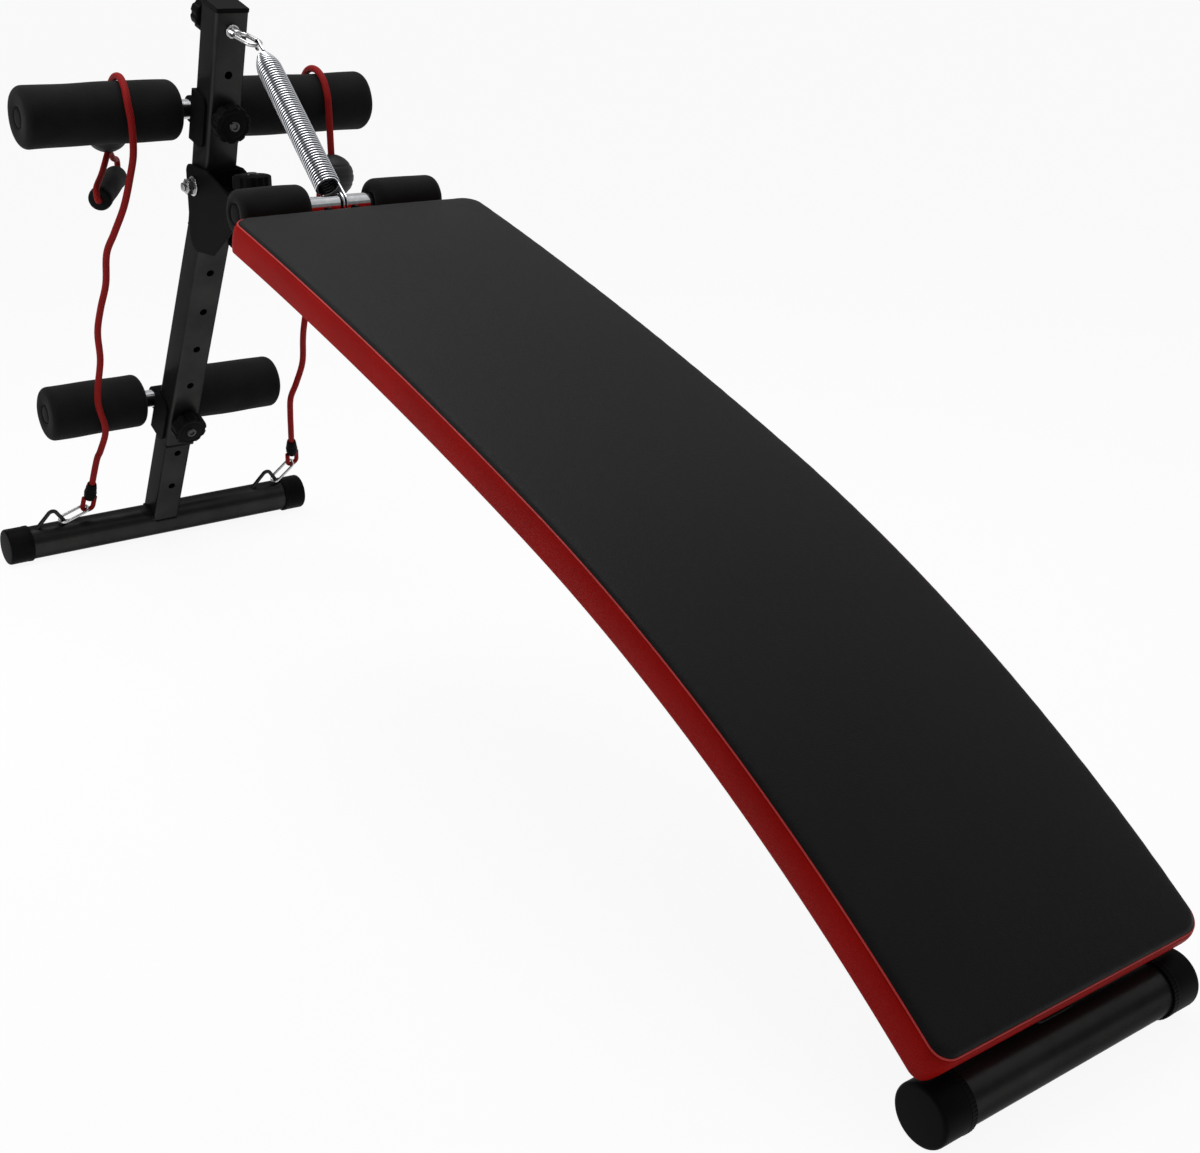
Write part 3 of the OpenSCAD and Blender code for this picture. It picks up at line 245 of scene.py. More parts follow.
# Dark metallic lacquer: cloudy tone, fine flake relief and faint rub marks in its gloss.
LACQUER = cloudy_coat("graphite_lacquer", tone=((0.3, (0.022, 0.022, 0.022)), (0.7, (0.036, 0.036, 0.035))),
                      cloud=(18.0, 5.0, 0.6), rough=(0.2, 0.46), rub=(70.0, 6.0, 0.7), bump=(0.00004, 0.5),
                      grain=(1500.0, 2.0), Metallic=0.7, Specular_IOR_Level=0.06,
                      Specular_Tint=(0.1, 0.1, 0.1, 1), Coat_Weight=0.06, Coat_Roughness=0.08, Coat_IOR=1.2)


def dress(piece, material, slot, *stood_for, body=None):
    """Gives a new piece its finish, hides the nodes that it stands for and lets it ride where they ride."""
    piece.data.materials.clear()
    for m in material if isinstance(material, (list, tuple)) else [material]:
        piece.data.materials.append(m)
    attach(piece, body or frame["nodes"][stood_for[0]]["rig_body"])
    if stood_for:
        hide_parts(*stood_for)
    return piece


def steel_tube(name, centre, axis, r, wall, half):
    """A tube with sawn ends as rings: out along its outside and back along its bore."""
    c = 0.4 * MM
    out = [(-half + c, r), (half - c, r), (half, r - c), (half, r - wall + c)]
    back = [(half - c, r - wall), (-half + c, r - wall), (-half, r - wall + c), (-half, r - c)]
    return skin(name, turned(np.array(out + back), centre, axis, 96), meet=True)


for name, node, at, half in (("floor_tube_post", "base_tube", FOOT, POST_HALF),
                             ("floor_tube_low", "low_tube", LOW, LOW_HALF)):
    dress(steel_tube(name, at, ALONG_Y, FLOOR_R, FLOOR_WALL, half), LACQUER, "frame_paint", node)

# End caps: black plastic cups, injection moulded and pushed over the ends of the floor tubes.
# Each has a finely ribbed rim, a rounded closed end and a flat sole that stands on the floor.

CAP_DEPTH, CAP_BOTTOM, CAP_SIDES = 0.030, 0.004, 384
RIBS, RIB_DEPTH, RIM_HALF = 48, 0.45 * MM, 2.6 * MM
CUP_OUTSIDE = 22.4 * MM
ENDS = (("left", -1), ("right", 1))

# Black moulded plastic: fine spark-eroded grain, slightly cloudy gloss, dust-grey bloom.
PLASTIC = cloudy_coat("moulded_plastic", tone=((0.35, 0.0034), (0.75, 0.0070)), cloud=(40.0, 5.0, 0.65),
                      rough=(0.42, 0.62), bump=(0.0001, 0.45), grain=(1100.0, 3.0, 0.6),
                      Specular_IOR_Level=0.03)


def profile(corners, radii, steps=6):
    """The line of a turned shape in metres, from corners and their easing in millimetres."""
    return eased(np.array(corners) * MM, np.array(radii) * MM, steps)


def end_cap(name, node, at, reach, side):
    """A cup turned about the tube's axis. Its rim swings in and out with the turn, and no point is below the
    floor, which makes the sole."""
    line = profile([(26, 0.3), (26, 21.1), (0, 21.1), (0, 23), (5.2, 23.0), (5.8, 22.7), (30, 22.8),
                    (30, 0.3)], [0, 0.3, 0.5, 0.6, 0.3, 0.3, 3.4, 0])
    grid = turned(line, at + np.array([0, side * (reach - CAP_DEPTH), 0]), (0, side, 0), CAP_SIDES)
    rim = np.clip(1 - np.abs(line[:, 0] - RIM_HALF) / RIM_HALF, 0, 1) * (line[:, 1] > CUP_OUTSIDE)
    swing = np.abs(np.sin(np.linspace(0, RIBS * np.pi, CAP_SIDES, endpoint=False))) - 1
    axis = at * np.array([1, 0, 1])
    spoke = grid - (axis + grid * np.array([0, 1, 0]))
    grid = grid + unit(spoke) * (RIB_DEPTH * np.minimum(1, 4 * rim)[:, None] * swing[None])[..., None]
    grid[..., 2] = np.maximum(grid[..., 2], 0.0)
    return dress(skin(name, grid), PLASTIC, "black_plastic", node)


for name, node, at, half in (("cap_post_", "base_cap_", FOOT, POST_HALF),
                             ("cap_low_", "low_cap_", LOW, LOW_HALF)):
    for side, way in ENDS:
        end_cap(name + side, node + side, at, half + CAP_BOTTOM, way)

# Leg and post: square steel tubes, the leg welded to the floor tube and slid into the post, which is cut
# and welded at one bend. Rows of holes are drilled through front and back for the clamping bolts.

LEAN, HEAD_LEAN = math.radians(29.0), math.radians(18.5)
UP, UP_HEAD = (np.array([math.sin(a), math.cos(a)]) for a in (LEAN, HEAD_LEAN))
AHEAD, AHEAD_HEAD = (np.array([u[1], -u[0]]) for u in (UP, UP_HEAD))
LEG_W, LEG_WALL, LEG_CORNER, LEG_FROM, LEG_TO = 0.034, 0.002, 4 * MM, 0.014, 0.330
POST_W, POST_WALL, POST_CORNER, POST_FROM, BEND_AT, HEAD_LONG = 0.038, 0.0015, 4.2 * MM, 0.148, 0.464, 0.258
LEG_HOLES = (0.0735, 0.1305, 0.1875, 0.2445, 0.3015)
POST_HOLES = (0.1875, 0.2445, 0.3015, 0.3585, 0.4155)
HEAD_HOLES = (0.141, 0.190, 0.239)
HOLE_R = 0.0045


def on_post(s):
    """The point of the side view, x and z, at the distance s up the leg and post from the floor tube."""
    return FOOT[[0, 2]] + s * UP


BEND = on_post(BEND_AT)


def on_head(s):
    """The point of the side view at the distance s up the post from its bend."""
    return BEND + s * UP_HEAD


def in_space(flat, y=0.0):
    """Points of the side view, x and z, as points in space at the distance y from the middle."""
    flat = np.asarray(flat, float)
    return np.stack([flat[..., 0], np.broadcast_to(y, flat.shape[:-1]), flat[..., 1]], -1)


def square_ring(w, r):
    """A closed square of width w with its corners eased over r: across and sideways."""
    h = w / 2
    return eased([(-h, -h), (h, -h), (h, h), (-h, h)], r, 7, closed=True)


def square_tube(name, middle, across, w, wall, r):
    """A square tube along a side view: at each row the square is set out along that row's across direction
    and sideways. The rings run along the outside and back along the bore."""
    middle, across = np.asarray(middle, float), np.asarray(across, float)

    def rings(ring):
        return in_space(middle[:, None] + ring[None, :, :1] * across[:, None], ring[:, 1])

    outer, bore = rings(square_ring(w, r)), rings(square_ring(w - 2 * wall, max(r - wall, 0.4 * MM)))
    return skin(name, np.concatenate([outer, bore[::-1]]), meet=True)


def drilled(piece, places, axes):
    """The piece with a round hole cut through it at each of the places, along the axis of the same rank."""
    rod = np.array([(-0.06, HOLE_R), (0.06, HOLE_R)])
    parts = [skin("drill", turned(rod, p, a, 40)) for p, a in zip(places, axes)]
    for part in parts:
        cut = piece.modifiers.new("hole", "BOOLEAN")
        cut.object, cut.operation, cut.solver = part, "DIFFERENCE", "EXACT"
    bpy.context.view_layer.update()
    seen = piece.evaluated_get(bpy.context.evaluated_depsgraph_get())
    mesh = bpy.data.meshes.new_from_object(seen)
    piece.modifiers.clear()
    piece.data = smoothed(mesh)
    for part in parts:
        bpy.data.objects.remove(part)
    return piece


FRONT, FRONT_HEAD = in_space(AHEAD), in_space(AHEAD_HEAD)
leg = square_tube("leg", [on_post(LEG_FROM), on_post(LEG_TO)], [AHEAD] * 2, LEG_W, LEG_WALL, LEG_CORNER)
drilled(leg, [in_space(on_post(s)) for s in LEG_HOLES], [FRONT] * len(LEG_HOLES))
dress(leg, LACQUER, "frame_paint", "leg_tube")

half_turn = (LEAN - HEAD_LEAN) / 2
mid_lean = (LEAN + HEAD_LEAN) / 2
mitre = np.array([math.cos(mid_lean), -math.sin(mid_lean)]) / math.cos(half_turn)
post = square_tube("post", [on_post(POST_FROM), BEND, on_head(HEAD_LONG)], [AHEAD, mitre, AHEAD_HEAD],
                   POST_W, POST_WALL, POST_CORNER)
drilled(post, [in_space(on_post(s)) for s in POST_HOLES] + [in_space(on_head(s)) for s in HEAD_HOLES],
        [FRONT] * len(POST_HOLES) + [FRONT_HEAD] * len(HEAD_HOLES))
dress(post, LACQUER, "frame_paint", "post_tube")

# Weld beads: the leg's foot, the bend of the post and the tail of the bench tube are welded all round.
# The beads are low, rippled by the torch and painted over with the tubes.

BEAD_R, BEND_BEAD_R, FINE_STEP = 1.7 * MM, 0.7 * MM, 0.8 * MM
ON_FLOOR_TUBE = 0.0212


def hoops(p, t, ref, r, sides):
    """Rings across a line: at each point a circle across the direction t, which starts on the side of the
    reference direction. r is one radius or one for each ring."""
    ref = np.broadcast_to(np.asarray(ref, float), p.shape)
    n = unit(ref - (ref * t).sum(-1, keepdims=True) * t)
    turn = around(sides)[None, :, None]
    ring = np.cos(turn) * n[:, None] + np.sin(turn) * np.cross(t, n)[:, None]
    return p[:, None] + np.broadcast_to(r, (len(p),))[:, None, None] * ring


def closed_tube(name, path, r, sides, ref):
    """A tube round a closed line: its rings stand across the line, and the last meets the first."""
    p = np.asarray(path, float)
    t = unit(np.roll(p, -1, 0) - np.roll(p, 1, 0))
    return skin(name, hoops(p, t, ref, r, sides), meet=True)


def lengths(path):
    """The distance along a line from its start to each of its points."""
    return np.concatenate([[0], np.cumsum(np.linalg.norm(np.diff(path, axis=0), axis=1))])


def evenly(path):
    """A closed line again with its points the same distance apart, about a fine step."""
    p = np.concatenate([path, path[:1]])
    far = lengths(p)
    at = np.arange(0, far[-1], far[-1] / round(far[-1] / FINE_STEP))
    return np.stack([np.interp(at, far, p[:, k]) for k in range(3)], -1)


def weld(name, path, r, body):
    """A bead along a closed line, with a ripple in its thickness: the sum of two sines of the point's
    number."""
    p = evenly(path)
    k = np.arange(len(p))
    r = r * (1 + 0.13 * np.sin(k * 1.7) + 0.07 * np.sin(k * 0.61 + 1))
    return dress(closed_tube(name, p, r, 8, (0.13, 0.05, 0.99)), LACQUER, "frame_paint", body=body)


ring = square_ring(LEG_W + 0.5 * MM, LEG_CORNER)
rise = np.sqrt(ON_FLOOR_TUBE ** 2 - ring[:, 0] ** 2)
foot_line = in_space(FOOT[[0, 2]] + ring[:, :1] * AHEAD + rise[:, None] * UP, ring[:, 1])
weld("leg_weld", foot_line, BEAD_R, "post")
ring = square_ring(POST_W, POST_CORNER)
weld("bend_weld", in_space(BEND + ring[:, :1] * mitre, ring[:, 1]), BEND_BEAD_R, "post")

# Post fittings: a plastic bush in the post's lower end and a plastic cap in its top, both pushed in.
# Their edges are softened as a mould leaves them.

MERGE, FLAT_ANGLE, EDGE_ANGLE = 0.01 * MM, 1, 35


def softened(name, node, width, material, slot, segments=2):
    """A merged copy of a node's mesh with its flat faces joined and its edges rounded by a bevel, dressed in
    the node's place."""
    source = frame["nodes"][node].data
    points = np.zeros(len(source.vertices) * 3)
    source.vertices.foreach_get("co", points)
    mesh = bpy.data.meshes.new(name)
    mesh.from_pydata(points.reshape(-1, 3).tolist(), [], [tuple(f.vertices) for f in source.polygons])
    work = bmesh.new()
    work.from_mesh(mesh)
    bmesh.ops.remove_doubles(work, verts=work.verts, dist=MERGE)
    bmesh.ops.dissolve_limit(work, angle_limit=math.radians(FLAT_ANGLE), verts=work.verts, edges=work.edges)
    work.to_mesh(mesh)
    work.free()
    made = shown(name, smoothed(mesh))
    edge = made.modifiers.new("edge", "BEVEL")
    edge.width, edge.segments = width, segments
    edge.limit_method, edge.angle_limit = "ANGLE", math.radians(EDGE_ANGLE)
    return dress(made, material, slot, node)


softened("bush", "post_bush", 0.7 * MM, PLASTIC, "black_plastic")
softened("top_cap", "post_top_cap", 1.4 * MM, PLASTIC, "black_plastic", 3)

# Cord anchors: bent wire arches welded on the floor tube, and bright zinc links hung in them.
# Each arch is one piece of round wire, each link a closed stadium of thinner wire.

ARCH_LEAN = math.radians(20)
ARCH_WIRE_R, LINK_WIRE_R = 2.5 * MM, 1.75 * MM
LINK_HANGS = (0.010274, 0.025326)

# Bright zinc plating: faint mottle in tone and gloss.
ZINC = cloudy_coat("zinc_plate", tone=((0.3, (0.44, 0.44, 0.45)), (0.7, (0.66, 0.66, 0.67))),
                   cloud=(220.0, 5.0, 0.6), rough=(0.18, 0.38), bump=(0.00005, 0.4), Metallic=1.0)


def open_tube(name, path, ref, r, sides, braid=False):
    """A tube along an open line: its rings stand across the line, and one face closes each end. With braid it
    carries the UV map of turn and length."""
    p = np.asarray(path, float)
    grid = hoops(p, unit(np.gradient(p, axis=0)), ref, r, sides)
    return skin(name, grid, along=lengths(p) if braid else None, sharp=50)


def at_anchor(p, y):
    """Points of an arch's own frame, which leans 20 degrees to the bench, in space at the distance y."""
    x = p[:, 0] * math.cos(ARCH_LEAN) + p[:, 2] * math.sin(ARCH_LEAN)
    z = p[:, 2] * math.cos(ARCH_LEAN) - p[:, 0] * math.sin(ARCH_LEAN)
    return FOOT + np.stack([x, p[:, 1] + y, z], -1)


def stadium(r, length):
    """A closed line of two half circles and the two straights between them, from a radius and a length in
    millimetres: evenly spaced points in metres, across and along."""
    a = np.linspace(0, np.pi, 24)
    far = np.stack([r * np.cos(a), length - r + r * np.sin(a), 0 * a], -1)
    near = np.stack([-r * np.cos(a), r - r * np.sin(a), 0 * a], -1)
    return evenly(np.concatenate([far, near]) * MM)


bow = np.radians(np.linspace(36, 144, 19))
arch = np.stack([0 * bow, 6 * np.cos(bow), 37 + 6 * np.sin(bow)], -1)
arch = np.concatenate([[(0, 22.0, 17.0), (0, 12.0, 30.7)], arch, [(0, -12.0, 30.7), (0, -22.0, 17.0)]]) * MM
loop = stadium(7.0, 39.0)
for side, y, tilt in (("left", -0.147, 22), ("right", 0.153, 46)):
    dress(open_tube("anchor_" + side, at_anchor(arch, y), (1.0, 0.0, 0.0), ARCH_WIRE_R, 20),
          LACQUER, "frame_paint", "rope_anchor_" + side)
    c, s = math.cos(math.radians(tilt)), math.sin(math.radians(tilt))
    laid = np.stack([loop[:, 0], LINK_HANGS[0] + c * loop[:, 1], LINK_HANGS[1] + s * loop[:, 1]], -1)
    flat = at_anchor(np.array([[0, -s, c], [0, 0, 0]]), 0)
    dress(closed_tube("link_" + side, at_anchor(laid, y), LINK_WIRE_R, 16, flat[0] - flat[1]),
          ZINC, "zinc", "link_" + side)

# Roller brackets: folded steel channels round the post's back, with a welded sleeve for the roller tube and
# a weld nut for the clamping bolt. They are coated in satin black.

# Black powder coat: orange-peel relief, satin gloss that varies a little.
SATIN = cloudy_coat("satin_black", tone=((0.3, 0.0034), (0.75, 0.0070)), cloud=(26.0, 5.0, 0.65),
                    rough=(0.5, 0.66), bump=(0.0002, 0.4), grain=(420.0, 2.0), Specular_IOR_Level=0.02)
softened("bracket_upper", "upper_bracket", 0.9 * MM, SATIN, "black_paint")
softened("bracket_lower", "lower_bracket", 0.9 * MM, SATIN, "black_paint")
softened("weld_nuts", "bracket_nuts", 0.6 * MM, ZINC, "zinc")

# Roller tubes: chromed steel tubes through the bracket sleeves, closed by black push-in plugs.
# Their short bright ends show between the sleeve and the foam.

BRACKET_DROP, BRACKET_BACK = 0.014, 0.045
ROLLER_R, KNEE_R, ROLLER_WALL = 0.011, 0.010, 0.0015
UPPER_HALF, LOWER_HALF, KNEE_HALF = 0.204, 0.149, 0.109
PLUG_SINK = 0.2 * MM
UPPER_AXIS = in_space(on_head(HEAD_HOLES[0] - BRACKET_DROP) - BRACKET_BACK * AHEAD_HEAD)
LOWER_AXIS = in_space(on_post(POST_HOLES[0] - BRACKET_DROP) - BRACKET_BACK * AHEAD)
KNEE_AXIS = np.array([-0.208998, 0.0, 0.486981])

# Chrome plating: pale grey metal, polished, with faint drawing marks in its gloss.
CHROME = cloudy_coat("bright_chrome", tone=((0.3, (0.52, 0.53, 0.55)), (0.7, (0.66, 0.67, 0.69))),
                     cloud=(160.0, 4.0, 0.6), rough=(0.06, 0.2), Metallic=1.0)
for name, node, at, r, half in (("roller_tube_upper", "upper_roller_tube", UPPER_AXIS, ROLLER_R, UPPER_HALF),
                                ("roller_tube_lower", "lower_roller_tube", LOWER_AXIS, ROLLER_R, LOWER_HALF),
                                ("knee_bar", "knee_tube", KNEE_AXIS, KNEE_R, KNEE_HALF)):
    dress(steel_tube(name, at, ALONG_Y, r, ROLLER_WALL, half), CHROME, "chrome", node)


def tube_plug(name, node, at, r, half, side):
    """A push-in plug turned about the tube's axis: a plain shank in the bore and a domed head that sits down
    on the wall."""
    r = r / MM
    line = profile([(-10, 0.3), (-10, r - 1.6), (0, r - 1.6), (0, r), (3.2, r), (4, r - 4), (4.2, 0.3)],
                   [0, 0.6, 0, 0.5, 1.2, 1.0, 0])
    grid = turned(line, at + np.array([0, side * (half - PLUG_SINK), 0]), (0, side, 0), 64)
    return dress(skin(name, grid), PLASTIC, "black_plastic", node)


for side, way in ENDS:
    tube_plug("plug_upper_" + side, "roller_plugs", UPPER_AXIS, ROLLER_R, UPPER_HALF, way)
    tube_plug("plug_lower_" + side, "roller_plugs", LOWER_AXIS, ROLLER_R, LOWER_HALF, way)
    tube_plug("plug_knee_" + side, "knee_plugs", KNEE_AXIS, KNEE_R, KNEE_HALF, way)

# Foam rollers: thick sleeves of black closed-cell foam pushed on the tubes, six in all.
# They are ground to a dull skin, with rounded rims, shallow dents and a pulled-in edge at the bore.

RIM_R, RIM_CLEAR, FOAM_SIDES, FOAM_STEP = 0.008, 0.010, 120, 0.004
DENT, WAVE_TOP, BORE_EDGE = 0.0003, 2.6, 0.003
FOAM_GAP = 0.3 * MM


def cell_foam():
    """Black foam rubber: cells as fine pits over a slower unevenness, dull and a little velvety."""
    made, tree, shader = coat("cell_foam", Roughness=0.86, Specular_IOR_Level=0.12, Sheen_Weight=0.06,
                              Sheen_Roughness=0.5, Sheen_Tint=(0.5, 0.5, 0.5, 1))
    place = add(tree, "TexCoord").outputs["Object"]
    pits = add(tree, "TexVoronoi", Vector=place, Scale=900.0).outputs["Distance"]
    uneven = spots(tree, place, 330.0, 4.0, 0.6)
    cloud = spots(tree, place, 30.0, 4.0)
    both = add(tree, "Math", pits, uneven, operation="ADD").outputs["Value"]
    lay(tree, shader, Base_Color=shade(tree, cloud, (0.3, 0.0030), (0.75, 0.0060)))
    relief(tree, shader, both, 0.0004, 0.5)
    return made


FOAM = cell_foam()


def foam_roller(name, node, tube_r):
    """A sleeve turned about its tube: out over a rounded rim, along, and back through the bore. Its outside
    is pressed in a little by a sum of slow waves of turn and length, which is nowhere above its top."""
    bore = tube_r + FOAM_GAP
    low, high = (np.array(c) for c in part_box(node))
    r, length = (high[0] - low[0]) / 2, high[1] - low[1]
    n = max(12, round(length / FOAM_STEP))
    along = np.linspace(RIM_CLEAR, length - RIM_CLEAR, n)
    rim = np.radians(np.linspace(0, 90, 10))
    first = np.stack([RIM_R - RIM_R * np.cos(rim), r - RIM_R + RIM_R * np.sin(rim)], -1)
    flat = np.stack([along, np.full(n, r)], -1)
    last = np.stack([length - RIM_R + RIM_R * np.cos(rim[::-1]), r - RIM_R + RIM_R * np.sin(rim[::-1])], -1)
    face = np.array([(0.0016, bore), (0.0002, bore + 0.0016), (0.0001, r - 0.012)])
    line = np.concatenate([face, first, flat, last, (face * [-1, 1] + [length, 0])[::-1]])
    middle = np.array([(low[0] + high[0]) / 2, low[1], (low[2] + high[2]) / 2])
    grid = turned(line, middle, ALONG_Y, FOAM_SIDES)
    turn = around(FOAM_SIDES)[None, :]
    y = line[:, :1] * 1000 + 7 * low[1] * 1000
    wave = np.sin(2 * turn + y / 23) + np.sin(3 * turn - y / 31 + 1) + 0.6 * np.sin(5 * turn + y / 11 + 2)
    press = DENT * (wave - WAVE_TOP) * (line[:, 1:] > bore + BORE_EDGE)
    spoke = unit(grid - (middle + (grid - middle) * np.array([0, 1, 0])))
    made = dress(skin(name, grid + spoke * press[..., None], meet=True, sharp=60), FOAM, "foam", node)
    return made


for level, r in (("upper", ROLLER_R), ("lower", ROLLER_R), ("knee", KNEE_R)):
    for side, _ in ENDS:
        foam_roller(f"roller_{level}_{side}", f"{level}_foam_{side}", r)

# Clamping knobs: scalloped black plastic knobs moulded on oxide-black studs. Three clamp the two roller
# brackets and the bench tube, the fourth is the nut of the eye bolt behind the post.

KNOB_SEAT = 0.0193
BENCH_SEAT = np.array([-0.397, 0.0, 0.478281])
KNOB_R, KNOB_SIDES = 21, 240
BITES, BITE_R, BITE_AT = 10, 4.5, 24
BITE_FROM, BITE_FADE = 0.0165, 0.0025

# Steel with a black oxide skin: dark metal, blotchy in tone and gloss.
OXIDE = cloudy_coat("oxide_steel", tone=((0.3, (0.030, 0.030, 0.032)), (0.7, (0.075, 0.075, 0.078))),
                    cloud=(240.0, 5.0, 0.6), rough=(0.2, 0.4), bump=(0.00005, 0.4), Metallic=0.9)


def knob(name, node, seat, axis, stud, below):
    """A knob turned about its bolt: hub, flared rim and a stepped face. Ten scallops bite into the rim, each
    the part of a circle of 4.5 mm whose middle is 3 mm outside the rim."""
    line = profile([(0, 4.2), (0, 12), (5.4, 12.4), (6.2, 19.5), (7.2, KNOB_R), (20.6, KNOB_R), (22, 17.5),
                    (21.4, 15.4), (21.4, 13.6), (22, 12.6), (22.2, 7.0), (22.2, 6.7), (20.5, 4.2)],
                   [0, 0.6, 1.6, 0.8, 1, 1.6, 0.7, 0.5, 0.5, 0.5, 0.2, 0.2, 0], 5)
    grid = turned(line, seat, axis, KNOB_SIDES)
    turn = around(KNOB_SIDES)
    off = (turn + np.pi / BITES) % (2 * np.pi / BITES) - np.pi / BITES
    aside = BITE_AT * np.sin(off)
    bite = BITE_AT * np.cos(off) - np.sqrt(np.maximum(BITE_R ** 2 - aside ** 2, 0))
    bite = np.where(np.abs(aside) < BITE_R, np.minimum(bite, KNOB_R), KNOB_R) / KNOB_R
    share = np.clip((line[:, 1] - BITE_FROM) / BITE_FADE, 0, 1)
    factor = 1 + share[:, None] * (bite[None] - 1)
    heart = seat + line[:, :1, None] * unit(axis)
    grid = heart + (grid - heart) * factor[..., None]
    dress(skin(name, grid, meet=True, sharp=40), PLASTIC, "black_plastic", node)
    if stud:
        line = profile([(-below, 0.3), (-below, 4), (20.4, 4), (20.6, 6.3), (22.2, 6.3), (24.2, 5.5),
                        (24.2, 3.2), (22.4, 2.6), (22.4, 0.3)],
                       [0, 0.8, 0.2, 0.2, 0.2, 0.7, 0.4, 0.2, 0], 5)
        dress(skin(name + "_stud", turned(line, seat, axis, 64)), OXIDE, "zinc", stud)


upper_bolt, eye_place = in_space(on_head(HEAD_HOLES[0])), in_space(on_head(HEAD_HOLES[2]))
lower_bolt = in_space(on_post(POST_HOLES[0]))
knob("knob_upper", "upper_knob", upper_bolt + KNOB_SEAT * FRONT_HEAD, FRONT_HEAD, "upper_stud", 50.3)
knob("knob_lower", "lower_knob", lower_bolt + KNOB_SEAT * FRONT, FRONT, "lower_stud", 50.3)
knob("knob_eye", "eye_knob", eye_place - KNOB_SEAT * FRONT_HEAD, -FRONT_HEAD, None, 0)
knob("knob_bench", "frame_knob", BENCH_SEAT, (0, 0, 1), "frame_stud", 49.3)

# Eye bolt: a zinc-plated bolt through the top of the post with a collar. Its tapered neck and long eye, which
# takes the spring's hook, are bent 13 degrees to the right.

EYE_TURN = math.radians(13)
EYE_WAY = math.cos(EYE_TURN) * FRONT_HEAD + math.sin(EYE_TURN) * np.array(ALONG_Y)
EYE_ACROSS = math.cos(EYE_TURN) * np.array(ALONG_Y) - math.sin(EYE_TURN) * FRONT_HEAD
EYE_WIRE_R, EYE_BEND_R, EYE_LONG = 2.5, 8.0, 33.5
COLLAR, EYE_FROM = 0.0205, 0.008

shank = profile([(-43, 0.3), (-43, 4), (19, 4), (19, 7.5), (22, 7.5), (22, 0.3)], [0, 0.8, 0, 0.8, 0.8, 0])
dress(skin("eye_shank", turned(shank, eye_place, FRONT_HEAD, 64)), ZINC, "zinc", "eye_bolt")
eye_base = eye_place + COLLAR * FRONT_HEAD
neck = profile([(-1, 0.3), (0, 6), (10.5, 4.6), (12.5, 0.3)], [0, 0, 2, 0])
dress(skin("eye_neck", turned(neck, eye_base, EYE_WAY, 64)), ZINC, "zinc", "eye_bolt")
eye = stadium(EYE_BEND_R, EYE_LONG)
eye = eye_base + (EYE_FROM + eye[:, 1:2]) * EYE_WAY + eye[:, :1] * EYE_ACROSS
dress(closed_tube("eye", eye, EYE_WIRE_R * MM, 18, in_space(UP_HEAD)), ZINC, "zinc", "eye_bolt")

# Hinge: two black steel side plates with a stop web turn on a bolt through the post, with washers and a nut.
# A square socket is welded between them, and the bench tube is held in it by the knob.

LEVEL, SOCKET_FROM, SOCKET_TO = 0.457981, -0.441599, -0.321599
SOCKET_W, SOCKET_WALL, SOCKET_CORNER = 0.040, 0.002, 3 * MM
softened("hinge", "hinge_bracket", 0.8 * MM, SATIN, "black_paint")
softened("hinge_bolt", "pivot_bolt", 0.7 * MM, ZINC, "zinc")
softened("hinge_nut", "pivot_nut", 0.7 * MM, ZINC, "zinc")
softened("hinge_washers", "pivot_washers", 0.4 * MM, ZINC, "zinc")
softened("socket_nut", "receiver_nut", 0.6 * MM, ZINC, "zinc")
socket = square_tube("socket", [(SOCKET_FROM, LEVEL), (SOCKET_TO, LEVEL)], [(0, 1)] * 2,
                     SOCKET_W, SOCKET_WALL, SOCKET_CORNER)
dress(socket, SATIN, "black_paint", "receiver_tube")

# Bench tube: one square steel tube, bent down behind the socket, then rolled to the two arcs of the pad and
# welded to the low floor tube. Two small plates on it carry the knee bar.

HEAD = np.array([-0.159998, 0.488981])
R1, R2, L1, L2 = 5.470, 1.624, 0.505, 0.513
SLOPE = math.radians(15.9281)
A0 = np.pi / 2 - SLOPE
A1 = A0 - L1 / R1
A2 = A1 - L2 / R2
BENCH_FROM, DEPTH, BEND_R, TAIL = -0.433599, 0.0526, 0.100, 0.0126
BENCH_W, BENCH_WALL, BENCH_CORNER = 0.035, 0.002, 4 * MM


def ray(a):
    """Directions in the side view at an angle from the level: level and upright shares."""
    return np.stack([np.cos(a), np.sin(a)], -1)


C1 = HEAD - R1 * ray(A0)
C2 = C1 + (R1 - R2) * ray(A1)
first, second, third = (np.linspace(*span) for span in ((np.pi / 2, A0, 9), (A0, A1, 13), (A1, A2, 37)))
bend_start = C1 + (R1 - DEPTH) * ray(A0)
vertex = bend_start[0] - (LEVEL - bend_start[1]) / math.tan(SLOPE)
bend_heart = np.array([vertex - BEND_R * math.tan(SLOPE / 2), LEVEL - BEND_R])
down = np.array([ray(A2)[1], -ray(A2)[0]])
tail = C2 + (R2 - DEPTH) * ray(A2) + TAIL * down
line = np.concatenate([[(BENCH_FROM, LEVEL)], bend_heart + BEND_R * ray(first),
                       C1 + (R1 - DEPTH) * ray(second), C2 + (R2 - DEPTH) * ray(third[1:]), [tail]])
square = np.concatenate([[(0, 1)], ray(first), ray(second), ray(third[1:]), [ray(A2)]])
dress(square_tube("bench_tube", line, square, BENCH_W, BENCH_WALL, BENCH_CORNER),
      LACQUER, "frame_paint", "frame_tube")
softened("knee_plates", "knee_cradle", 0.8 * MM, LACQUER, "frame_paint")
ring = square_ring(BENCH_W + 0.5 * MM, BENCH_CORNER)
base = tail + ring[:, :1] * ray(A2)
aim = (LOW[[0, 2]] - base) @ down
miss = np.sqrt(((LOW[[0, 2]] - base) ** 2).sum(-1) - aim ** 2)
seat = base + (aim - np.sqrt(np.maximum(ON_FLOOR_TUBE ** 2 - miss ** 2, 0)))[:, None] * down
weld("tail_weld", in_space(seat, ring[:, 1]), BEAD_R, "bench")

